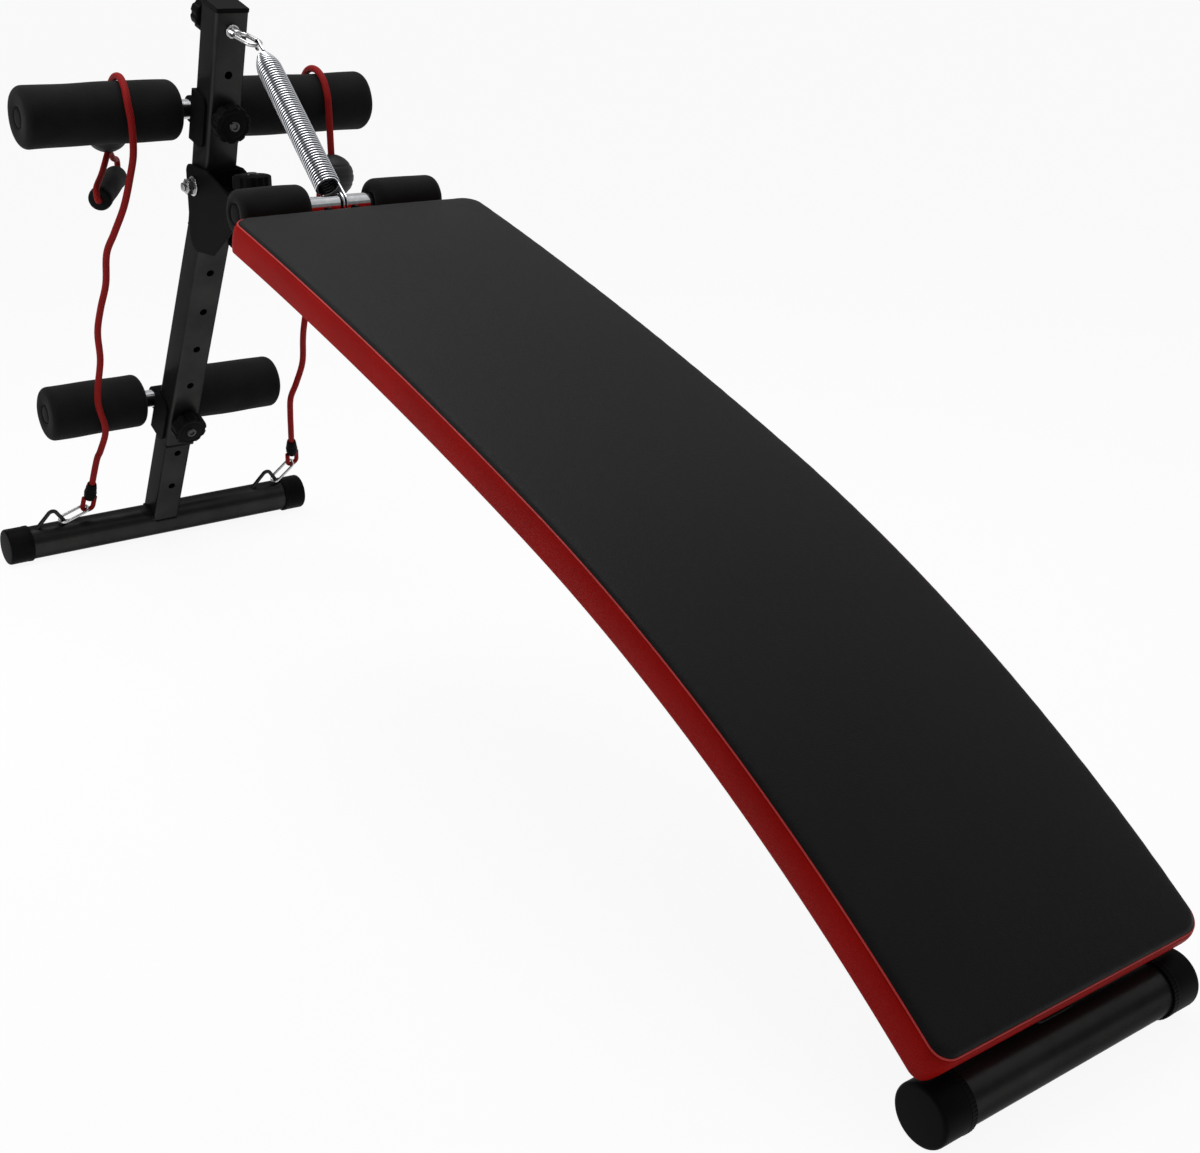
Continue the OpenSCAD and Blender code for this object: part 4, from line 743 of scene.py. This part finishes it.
# Stretch spring: one length of bright spring wire, close wound over a mandrel. A hook sits in the eye, the
# first coils widen, and at the low end nearly two open turns go round the knee bar.

WIRE, COIL_R, PITCH, TAPER, STRAIGHT, TURN_STEPS = 2.8, 12.0, 3.35, 7, 13, 24
HOOK_R = EYE_WIRE_R + WIRE / 2 + 0.7
LOOP_R = KNEE_R / MM + WIRE / 2 + 0.5
TIP = eye_base + (EYE_FROM + EYE_LONG * MM) * EYE_WAY


def spring_line():
    """The wire's middle and its outward direction, first in millimetres along the line from the eye to the
    knee bar: an arc in the eye, a helix whose radius grows with the sine of the turn over seven turns and
    then stays, and a slow helix round the bar."""
    reach = np.linalg.norm(KNEE_AXIS - TIP) * 1000
    end = reach - LOOP_R - STRAIGHT
    turns = math.floor((end - STRAIGHT) / PITCH)
    start = end - turns * PITCH
    a = np.radians(np.arange(320, 89, -6.0))
    arc = np.stack([HOOK_R * np.cos(a), HOOK_R * np.sin(a), 0 * a], -1)
    lead = np.array([(start - 9, HOOK_R, 0), (start - 6, HOOK_R, 0), (start - 3, HOOK_R, 0.3),
                     (start - 1, HOOK_R * 0.97, 1.4)])
    k = np.arange(2, turns * TURN_STEPS + 1) / TURN_STEPS
    r = HOOK_R + (COIL_R - HOOK_R) * np.sin(np.pi / 2 * np.minimum(k / TAPER, 1))
    coil = np.stack([start + k * PITCH, r * np.cos(2 * np.pi * k), r * np.sin(2 * np.pi * k)], -1)
    leave = np.array([(end + 0.9, COIL_R - 0.1, 3.4), (end + 3.2, COIL_R - 0.5, 5.2),
                      (end + 7, COIL_R - 1.2, 6)])
    b = np.arange(0, 64)
    bow = np.radians(90 - 10.0 * b)
    wrap = np.stack([reach + LOOP_R * np.cos(bow), LOOP_R * np.sin(bow), 6 - 6.6 * b / 63], -1)
    line = np.concatenate([arc, lead, coil, leave, wrap])
    up = np.array([[0, 1.0, 0]])
    ref = np.concatenate([arc, up.repeat(len(lead), 0), coil * (0, 1, 1), up.repeat(len(leave), 0),
                          wrap * (1, 1, 0) - (reach, 0, 0)])
    u = unit(KNEE_AXIS - TIP)
    v = unit(np.array([-u[2], 0, u[0]]))
    axes = np.array([u, v, np.cross(v, u)])
    return TIP + line @ axes * MM, ref @ axes


def spring_wire():
    """Bright wire with painted shade where coil lies against coil: the cosine of the turn about the wire is
    one on its outer side and falls to the dark tone on the sides and within."""
    made, tree, shader = coat("spring_wire", Metallic=1.0)
    coords = add(tree, "TexCoord").outputs
    round_wire = add(tree, "SeparateXYZ", coords["UV"]).outputs["X"]
    turn = add(tree, "Math", round_wire, 2 * math.pi, operation="MULTIPLY").outputs["Value"]
    out = add(tree, "Math", turn, operation="COSINE").outputs["Value"]
    # Painted shade: the wire's colour darkens on its sides and inner side, where neighbouring coils shade it.
    tone = shade(tree, out, (0.4, (0.012, 0.012, 0.014)), (0.74, (0.2, 0.21, 0.23)),
                 (0.93, (0.80, 0.82, 0.86)))
    marks = spots(tree, coords["Object"], 220.0, 4.0, 0.6)
    lay(tree, shader, Base_Color=tone, Roughness=spread(tree, marks, 0.1, 0.24))
    return made


line, ref = spring_line()
spring = open_tube("stretch_spring", line, ref, WIRE / 2 * MM, 12, braid=True)
spring.data.materials.append(spring_wire())
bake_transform(spring)
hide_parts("spring")

# Pad base: a curved board bolted through four cross straps to the bench tube by eight hexagon screws.
# The board is pressed fibre, painted black on its underside.


def fibre_board():
    """Pressed fibre board under a thin black wash: short fibres and specks showing through."""
    made, tree, shader = coat("fibre_board", Roughness=0.8, Specular_IOR_Level=0.2)
    place = add(tree, "TexCoord").outputs["Object"]
    fibre = spots(tree, place, 260.0, 8.0, 0.75)
    speck = add(tree, "TexVoronoi", Vector=place, Scale=320.0).outputs["Distance"]
    tone = shade(tree, fibre, (0.35, (0.012, 0.011, 0.010)), (0.62, (0.030, 0.026, 0.022)),
                 (0.8, (0.07, 0.055, 0.04)))
    lay(tree, shader, Base_Color=tone)
    relief(tree, shader, speck, 0.0003, 0.4)
    return made


softened("board", "pad_board", 1.2 * MM, fibre_board(), "board")
softened("straps", "pad_straps", 0.6 * MM, SATIN, "black_paint")
softened("screws", "pad_screws", 0.5 * MM, ZINC, "zinc")

# Pad: firm foam on the board under a sewn cover of black grained vinyl with a red vinyl side band, drawn
# round the board and turned in under its edge. A thin red piping lies in the seam, which puckers the cover
# a little.

PAD_L, PAD_W, PAD_DEEP = 1.018, 0.276, 0.032
DRAW, DRAW_RUN = 0.008, 0.150
CROWN, CROWN_RUN = 0.005, 0.120
CORNER_POINTS, SIDE_POINTS, END_POINTS = 15, 190, 46
FIRST_RED_ROW = 7


def grained_vinyl(name, dark, light, rough_low, rough_high, gloss):
    """Grained vinyl: small leather cells as relief, a slow cloud of tone and rubbed patches in the gloss."""
    made, tree, shader = coat(name, Specular_IOR_Level=gloss)
    place = add(tree, "TexCoord").outputs["Object"]
    bend = add(tree, "TexNoise", Vector=place, Scale=160.0, Detail=3.0).outputs["Color"]
    shifted = add(tree, "VectorMath", bend, (0.004, 0.004, 0.004), place, operation="MULTIPLY_ADD").outputs
    cells = add(tree, "TexVoronoi", feature="DISTANCE_TO_EDGE", Vector=shifted["Vector"], Scale=620.0)
    cells = cells.outputs["Distance"]
    grain = add(tree, "MapRange", Value=cells, From_Min=0.0, From_Max=0.22).outputs["Result"]
    fold = spots(tree, place, 900.0, 2.0)
    cloud = spots(tree, place, 9.0, 6.0, 0.62)
    height = add(tree, "Math", fold, 0.25, grain, operation="MULTIPLY_ADD").outputs["Value"]
    lay(tree, shader, Base_Color=shade(tree, cloud, (0.32, dark), (0.7, light)),
        Roughness=spread(tree, cloud, rough_low, rough_high))
    relief(tree, shader, height, 0.00022, 0.5)
    return made


BLACK_VINYL = grained_vinyl("black_vinyl", (0.0046, 0.0046, 0.0048), (0.0076, 0.0076, 0.0078),
                            0.46, 0.62, 0.11)
RED_VINYL = grained_vinyl("red_vinyl", (0.26, 0.0040, 0.0030), (0.34, 0.0060, 0.0045), 0.42, 0.56, 0.03)
PIPING_RED = grained_vinyl("piping_red", (0.44, 0.030, 0.026), (0.54, 0.045, 0.038), 0.34, 0.46, 0.2)


def drawn_out(s):
    """Places along the pad with its soft head drawn out: 8 mm at the end, falling evenly to none at
    150 mm."""
    return s - DRAW * np.clip(1 - s / DRAW_RUN, 0, 1)


def on_pad(s, y, h):
    """Points on the pad: s along its two arcs from the head, y across, h above the board's underside."""
    upper = s < L1
    a = np.where(upper, A0 - s / R1, A1 - (s - L1) / R2)
    c = np.where(upper[..., None], C1, C2)
    return in_space(c + (np.where(upper, R1, R2) - PAD_DEEP + h)[..., None] * ray(a), y)


def outline(inset, corner):
    """Rounded oblongs in the plane of the pad, one for each inset from its edge and corner radius: along and
    across. Every oblong has the same count of points on each side and corner, so that the rings match."""
    d = np.asarray(inset, float)[:, None]
    r = np.asarray(corner, float)[:, None]
    quarter = np.radians(np.linspace(0, 90, CORNER_POINTS))[None]
    across, along = PAD_W / 2 - d - r, PAD_L - d - r
    corners = [((along if k in (0, 3) else PAD_L - along) + r * np.cos(quarter + k * np.pi / 2),
                (across if k < 2 else -across) + r * np.sin(quarter + k * np.pi / 2)) for k in range(4)]
    parts = []
    for k, n in enumerate((SIDE_POINTS, END_POINTS, SIDE_POINTS, END_POINTS)):
        s, y = corners[k]
        s2, y2 = corners[(k + 1) % 4]
        t = np.linspace(0, 1, n + 2)[None, 1:-1]
        straight = [a[:, -1:] + t * (b[:, :1] - a[:, -1:]) for a, b in ((s, s2), (y, y2))]
        parts += [np.stack([s, y], -1), np.stack(straight, -1)]
    return np.concatenate(parts, 1)


def crown(s, y):
    """Lift of the pad's middle: a parabola across, rising over 120 mm from either end."""
    f = np.clip(np.minimum(s, PAD_L - s) / CROWN_RUN, 0, 1)
    return CROWN * f * (2 - f) * (1 - (2 * y / PAD_W) ** 2)


# Rows of the cover, from the hem under the board over the side band to the middle of the top: how far in
# from the pad's edge each lies and how far above the board's underside, in millimetres.
hem_in = np.array([130, 110, 70, 30, 10, 5.2, 4.8, 4.8, 5.4, 9.4, 9.6, 9.4, 5.4, 3.0, 1.4])
hem_up = np.array([9.3, 9.3, 9.3, 9.3, 9.3, 9.3, 9.0, 0.3, -0.05, -0.05, -0.3, -0.55, -0.6, -0.6, -0.4])
band_in = np.array([0.6, 0.2, -0.1, -0.5, -0.8, -0.8, -0.5, -0.1, 0.4, 1.0, 1.7, 2.3])
band_up = np.array([0.2, 1.6, 4.5, 9.0, 14.0, 18.5, 22.0, 24.4, 26.2, 27.4, 28.2, 28.6])
top_in = np.array([2.5, 2.7, 3.2, 4.0, 5.2, 7.0, 9.5, 13, 17, 22, 30, 42, 58, 76, 92, 106, 119, 130])
top_up = np.array([28.8, 29.5, 30.3, 31.1, 31.8, 32.25, 32.5, 32.6, 32.7, 32.75] + [32.8] * 8)
first_band, first_top = len(hem_in), len(hem_in) + len(band_in)
inset = np.concatenate([hem_in, band_in, top_in]) * MM
rise = np.concatenate([hem_up, band_up, top_up])[:, None] * MM
# The corners of the pad's plan are rounder from the band up to the top, and sharper again within it.
bend_r = np.interp(rise[:, 0], [0, 0.014, 0.029, 0.031], [0.012, 0.014, 0.017, 0.020])
inner_r = np.maximum(0.015 - inset / 8, 0.0004)
plan = outline(inset, np.where(inset < 0.010, bend_r - np.minimum(inset, 0.006), inner_r))
s, y = plan[..., 0], plan[..., 1]
edge = lengths(plan[first_band])[None] * 1000
is_top = (np.arange(len(inset)) >= first_top)[:, None]
is_band = (np.arange(len(inset)) >= first_band)[:, None] & ~is_top
# Waves of the edge's length and of the place: puckers by the seam, a sway of the top, a billow of the band.
pucker = 0.5 + 0.25 * np.sin(edge / 2.9) + 0.25 * np.sin(edge / 4.7 + 1.3 * np.sin(edge / 61))
near_seam = np.exp(-np.maximum(inset[:, None] * 1000 - 2.5, 0) / 5)
sway = np.sin(s * 1000 / 83 + y * 1000 / 47) + np.sin(s * 1000 / 131 - y * 1000 / 71 + 2)
lift = np.where(is_top, crown(s, y) + 0.00012 * sway - 0.0004 * pucker * near_seam, 0)
billow = 0.00035 * np.sin(edge / 37 + 0.6 * np.sin(edge / 113)) * np.sin(np.pi * rise / 0.030)
wave = np.where(is_band, billow, 0)
count = plan.shape[1]
s = np.where(is_top | is_band, drawn_out(s), s)
cover = on_pad(s, y * (1 + wave / (PAD_W / 2)), rise + lift)
pad = skin("pad", cover, sharp=75, middle=count - END_POINTS // 2)
row = np.arange(len(inset) - 1).repeat(count)
red = (row >= FIRST_RED_ROW) & (row < first_top - 1)
dress(pad, [BLACK_VINYL, RED_VINYL], "cover", "pad_cushion")
pad.data.polygons.foreach_set("material_index", np.concatenate([red, np.zeros(count - 2)]).astype(np.int32))

seam = outline(np.array([0.0022]), np.array([0.0147]))[0]
seam = on_pad(drawn_out(seam[:, 0]), seam[:, 1], np.full(len(seam), 0.02875))
dress(closed_tube("piping", seam, 0.7 * MM, 10, (0.05, 0.08, 0.99)), PIPING_RED, "cover", body="bench")

# Pull cords: red braided elastic cords from the floor tube up and over the upper roller. Each starts in a
# crimped sleeve above its loop in the wire link and ends in a rubber ball with a hand grip under it.

CORD_R, STRAP_R, EYE_CORD_R = 4.0 * MM, 3.5 * MM, 3.0 * MM
EYE_HALF, OVER_LINK, SLEEVE_TOP = 7 * MM, 0.00195, 0.039
ON_ROLLER = 0.0385
BALL_R, IN_BALL, NEAR_BALL, GROOVE = 25, 0.0245, 0.034, 0.022
STRANDS, STRAND_STEP = 8, 0.0036
ROUTE_STEPS = 6


def braided_red():
    """Red braid: two families of strands that cross along the cord, each the sine of the sum or difference of
    turn and length, with painted shade in the gaps between them."""
    made, tree, shader = coat("braided_red", Roughness=0.62, Specular_IOR_Level=0.1)

    def math_node(operation, *values):
        return add(tree, "Math", *values, operation=operation).outputs["Value"]

    split = add(tree, "SeparateXYZ", add(tree, "TexCoord").outputs["UV"]).outputs
    turn = math_node("MULTIPLY", split["X"], STRANDS * 2 * math.pi)
    far = math_node("MULTIPLY", split["Y"], 2 * math.pi / STRAND_STEP)
    one = math_node("SINE", math_node("ADD", turn, far))
    two = math_node("SINE", math_node("SUBTRACT", turn, far))
    top = math_node("MAXIMUM", one, two)
    height = add(tree, "MapRange", Value=top, From_Min=-0.6, From_Max=1.0).outputs["Result"]
    # Painted shade: the tone darkens with the braid's height, down into the gaps between the strands.
    tone = shade(tree, height, (0.1, (0.09, 0.002, 0.002)), (0.6, (0.23, 0.006, 0.006)),
                 (0.95, (0.31, 0.010, 0.009)))
    lay(tree, shader, Base_Color=tone)
    relief(tree, shader, height, 0.0004, 0.8)
    return made


BRAID = braided_red()


def smooth_line(points, n):
    """Catmull-Rom line through points: between two of them a cubic whose slope at each is half the step from
    the point before to the point after, n steps each."""
    p = np.asarray(points, float)
    q = np.concatenate([p[:1], p, p[-1:]])
    a, b, c, d = q[:-3, None], q[1:-2, None], q[2:-1, None], q[3:, None]
    t = (np.arange(n) / n)[None, :, None]
    square, cube = 2 * a - 5 * b + 4 * c - d, 3 * b - a - 3 * c + d
    cubic = 0.5 * (2 * b + (c - a) * t + square * t ** 2 + cube * t ** 3)
    return np.concatenate([cubic.reshape(-1, 3), p[-1:]])


def over_roller(places):
    """Points on the upper roller's foam: each an angle about its axis in degrees and a distance sideways."""
    p = np.asarray(places, float)
    a = np.radians(p[:, 0])
    return UPPER_AXIS + np.stack([ON_ROLLER * np.cos(a), p[:, 1] * MM, ON_ROLLER * np.sin(a)], -1)


# Dull black rubber: fine grain and a greyish bloom.
RUBBER = cloudy_coat("dull_rubber", tone=((0.3, 0.0055), (0.75, 0.0125)), cloud=(55.0, 4.0),
                     bump=(0.0002, 0.5), grain=(600.0, 4.0, 0.65), Roughness=0.6, Specular_IOR_Level=0.3)


def pull_cord(side, up, over, tip, ball, enter, grip, way):
    """One cord with all that hangs on it. Its line runs from the sleeve's top through the points up to the
    roller, over it and into the ball; the handle's line drops from the ball, passes through the grip and
    rises again."""
    tip, ball, grip, way = (np.asarray(v, float) for v in (tip, ball, grip, way))
    up = FOOT * [1, 0, 0] + np.asarray(up, float) * MM
    lead, into, way = unit(up[0] - tip), unit(enter), unit(way)
    seat = tip + OVER_LINK * lead
    top = seat + SLEEVE_TOP * lead
    route = np.concatenate([[top], up, over_roller(over), [ball + NEAR_BALL * into, ball + IN_BALL * into]])
    line = smooth_line(route, ROUTE_STEPS)
    cord = open_tube("cord_" + side, line, ALONG_Y, CORD_R, 20, braid=True)
    dress(cord, BRAID, "cord", "rope_" + side)

    across = unit(np.array([1.0, 0, 0]) - lead[0] * lead)
    wide = np.cross(lead, across)
    a = np.radians(np.linspace(180, 360, 25))[:, None]
    legs = [seat + x * wide + z * MM * lead for x, z in ((-EYE_HALF, 15), (-EYE_HALF, 6), (EYE_HALF, 6),
                                                         (EYE_HALF, 15))]
    eye = np.concatenate([legs[:2], seat + EYE_HALF * (np.cos(a) * wide + np.sin(a) * lead), legs[2:]])
    loop = open_tube("loop_" + side, eye, across, EYE_CORD_R, 16, braid=True)
    dress(loop, BRAID, "cord", "rope_loops")
    barrel = profile([(13, 1), (13, 6.2), (19, 7.6), (21, 7.3), (23, 8.0), (27, 7.4), (29, 6.7), (31, 7.0),
                      (38.6, 5.7), (39, 1)], [0, 1, 1, 1, 1, 1, 1, 1, 1, 0])
    sleeve = skin("sleeve_" + side, turned(barrel, seat, lead, 48))
    dress(sleeve, PLASTIC, "black_plastic", "rope_sleeves")

    a = np.radians(np.linspace(-88, 88, 60))
    fat = np.stack([BALL_R * np.sin(a), BALL_R * np.cos(a)], -1) * MM
    fat[:, 1] *= 1 - GROOVE * (np.sin(fat[:, 0] * 1000 / BALL_R * 16) > 0.55)
    bulb = skin("ball_" + side, turned(fat, ball, into, 96), sharp=60)
    dress(bulb, RUBBER, "black_plastic", "cord_balls")

    def half(out):
        """The handle's line on one side: from the ball down past the grip's end and into it."""
        drop = np.array([0, 0, -IN_BALL]) + ball + 5 * MM * out
        sag = 0.45 * ball + 0.55 * (grip + 58 * MM * out) - [0, 0, 0.004]
        end = grip + np.array([59, 60, 53, 38, 25])[:, None] * MM * out
        end[:2, 2] += 0.016, 0.005
        return np.concatenate([[drop, sag], end])

    path = smooth_line(np.concatenate([half(-way), [grip], half(way)[::-1]]), ROUTE_STEPS)
    strap = open_tube("handle_cord_" + side + "_braid", path, unit(np.cross(way, (0, 0, 1.0))), STRAP_R, 18,
                      braid=True)
    dress(strap, BRAID, "cord", "handle_cord_" + side)
    body = profile([(-50, 3.6), (-50, 12.6), (-42, 13.5), (-30, 12.7), (0, 13.3), (30, 12.7), (42, 13.5),
                    (50, 12.6), (50, 3.6)], [0, 4, 5, 9, 12, 9, 5, 4, 0], 8)
    handle = skin("grip_" + side, turned(body, grip, way, 72), meet=True, sharp=60)
    dress(handle, FOAM, "foam", "grips")


# Each cord's route: points in millimetres from the floor beneath the floor tube's middle, then places over
# the roller, the link's far end, the ball's middle and the way into it, the grip's middle and its direction.
pull_cord("left",
          [(54, -97, 131), (59, -93, 143), (78, -91, 173.5), (92, -102, 207.5), (104, -105, 234),
           (123, -106, 271), (142, -113, 308), (156, -112, 338), (172, -109, 369), (191, -112, 406),
           (204, -106, 430), (220, -98, 461), (238, -95, 495), (253, -95, 522)],
          [(-14, -97), (16, -99), (46, -97), (76, -94), (106, -92), (132, -91), (150, -90)],
          (-0.726344, -0.100566, 0.059527), (-0.573428, -0.089, 0.540039), (22, 0, 41),
          (-0.574002, -0.093, 0.476), (-0.82, 0.55, 0.15))
pull_cord("right",
          [(49, 176, 125), (62, 170, 150), (74, 166, 175), (85, 170, 197), (100, 173, 227), (117, 167, 261),
           (129, 164, 284), (146, 165, 330), (160, 170, 385), (170, 173, 440), (177, 171, 480),
           (181, 163, 522)],
          [(186, 157), (164, 152), (134, 148), (104, 146), (74, 145), (44, 144), (14, 143), (-4, 143)],
          (-0.721745, 0.190366, 0.072161), (-0.478428, 0.143, 0.481539), (0, 0, 1),
          (-0.478428, 0.143, 0.418539), (-0.8, 0.6, 0))

# Studio: a wide pale floor, a sky that is paler behind the bench, and three soft lamps. The camera stands
# where the photograph was taken, past the bench's low end, to its left and a little higher than the post.

FLOOR_REACH, FLOOR_SIDES, FLOOR_GAP = 60, 64, 0.0004
FLOOR_WHITE = 0.92
PALE_WAY = (-0.62, 0.72, 0.31)
CAMERA_PLACE, YAW, PITCH_DOWN = (1.3403, -0.8472, 0.7130), 0.651, 0.343
LENS, SENSOR, NEAREST, FARTHEST = 51.225, 36, 0.05, 200

view = bpy.context.scene
view.view_settings.view_transform = "Standard"
sky = bpy.data.worlds.new("sky")
sky.use_nodes = True
tree = sky.node_tree
way = add(tree, "TexCoord").outputs["Object"]
ahead = add(tree, "VectorMath", way, PALE_WAY, operation="DOT_PRODUCT").outputs["Value"]
glow = add(tree, "MapRange", Value=ahead, From_Min=0.25, From_Max=0.8, To_Min=0.18, To_Max=0.6)
tree.nodes["Background"].inputs["Color"].default_value = (1, 1, 1, 1)
tree.links.new(glow.outputs["Result"], tree.nodes["Background"].inputs["Strength"])
view.world = sky

ground = bpy.data.meshes.new("floor")
turn = around(FLOOR_SIDES)
rim = np.stack([FLOOR_REACH * np.cos(turn), FLOOR_REACH * np.sin(turn), 0 * turn - FLOOR_GAP], -1)
ground.from_pydata(rim.tolist(), [], [np.arange(FLOOR_SIDES).tolist()])
floor = shown("floor", ground)
pale, tree, shader = coat("pale_floor", Roughness=0.9, Specular_IOR_Level=0.1)
speckle = spots(tree, add(tree, "TexCoord").outputs["Object"], 3.0, 3.0)
lay(tree, shader, Base_Color=shade(tree, speckle, (0.3, 0.90), (0.7, 0.93)))
path = add(tree, "LightPath").outputs
seen = add(tree, "Math", path["Is Camera Ray"], path["Is Glossy Ray"], operation="ADD").outputs["Value"]
seen = add(tree, "Math", seen, path["Is Transmission Ray"], operation="ADD").outputs["Value"]
share = add(tree, "Math", seen, FLOOR_WHITE, operation="MULTIPLY").outputs["Value"]
white = add(tree, "Emission", Strength=1.0).outputs["Emission"]
both = add(tree, "MixShader", share, shader.outputs["BSDF"], white).outputs["Shader"]
tree.links.new(both, tree.nodes["Material Output"].inputs["Surface"])
ground.materials.append(pale)

for name, kind, place, aim, strength, size in (
        ("key", "AREA", (-0.45, -0.1, 2.2), (-0.1, 0.0, 0.3), 26, 1.3),
        ("side", "AREA", (-0.5, -0.8, 0.75), (-0.1, 0.0, 0.4), 2.6, 0.4),
        ("fill", "SUN", (0.9, 1.4, 2.2), (0.0, 0.0, 0.0), 0.35, math.radians(60))):
    lamp = bpy.data.lights.new(name, kind)
    lamp.energy = strength
    setattr(lamp, "size" if kind == "AREA" else "angle", size)
    stand = shown(name, lamp)
    stand.location = place
    stand.rotation_euler = (Vector(place) - Vector(aim)).to_track_quat("Z", "Y").to_euler()

level_share = math.cos(PITCH_DOWN)
aim = Vector((-math.cos(YAW) * level_share, math.sin(YAW) * level_share, -math.sin(PITCH_DOWN)))
camera = shown("camera", bpy.data.cameras.new("camera"))
camera.data.lens, camera.data.sensor_width = LENS, SENSOR
camera.data.clip_start, camera.data.clip_end = NEAREST, FARTHEST
camera.location = CAMERA_PLACE
camera.rotation_euler = aim.to_track_quat("-Z", "Y").to_euler()
view.camera = camera
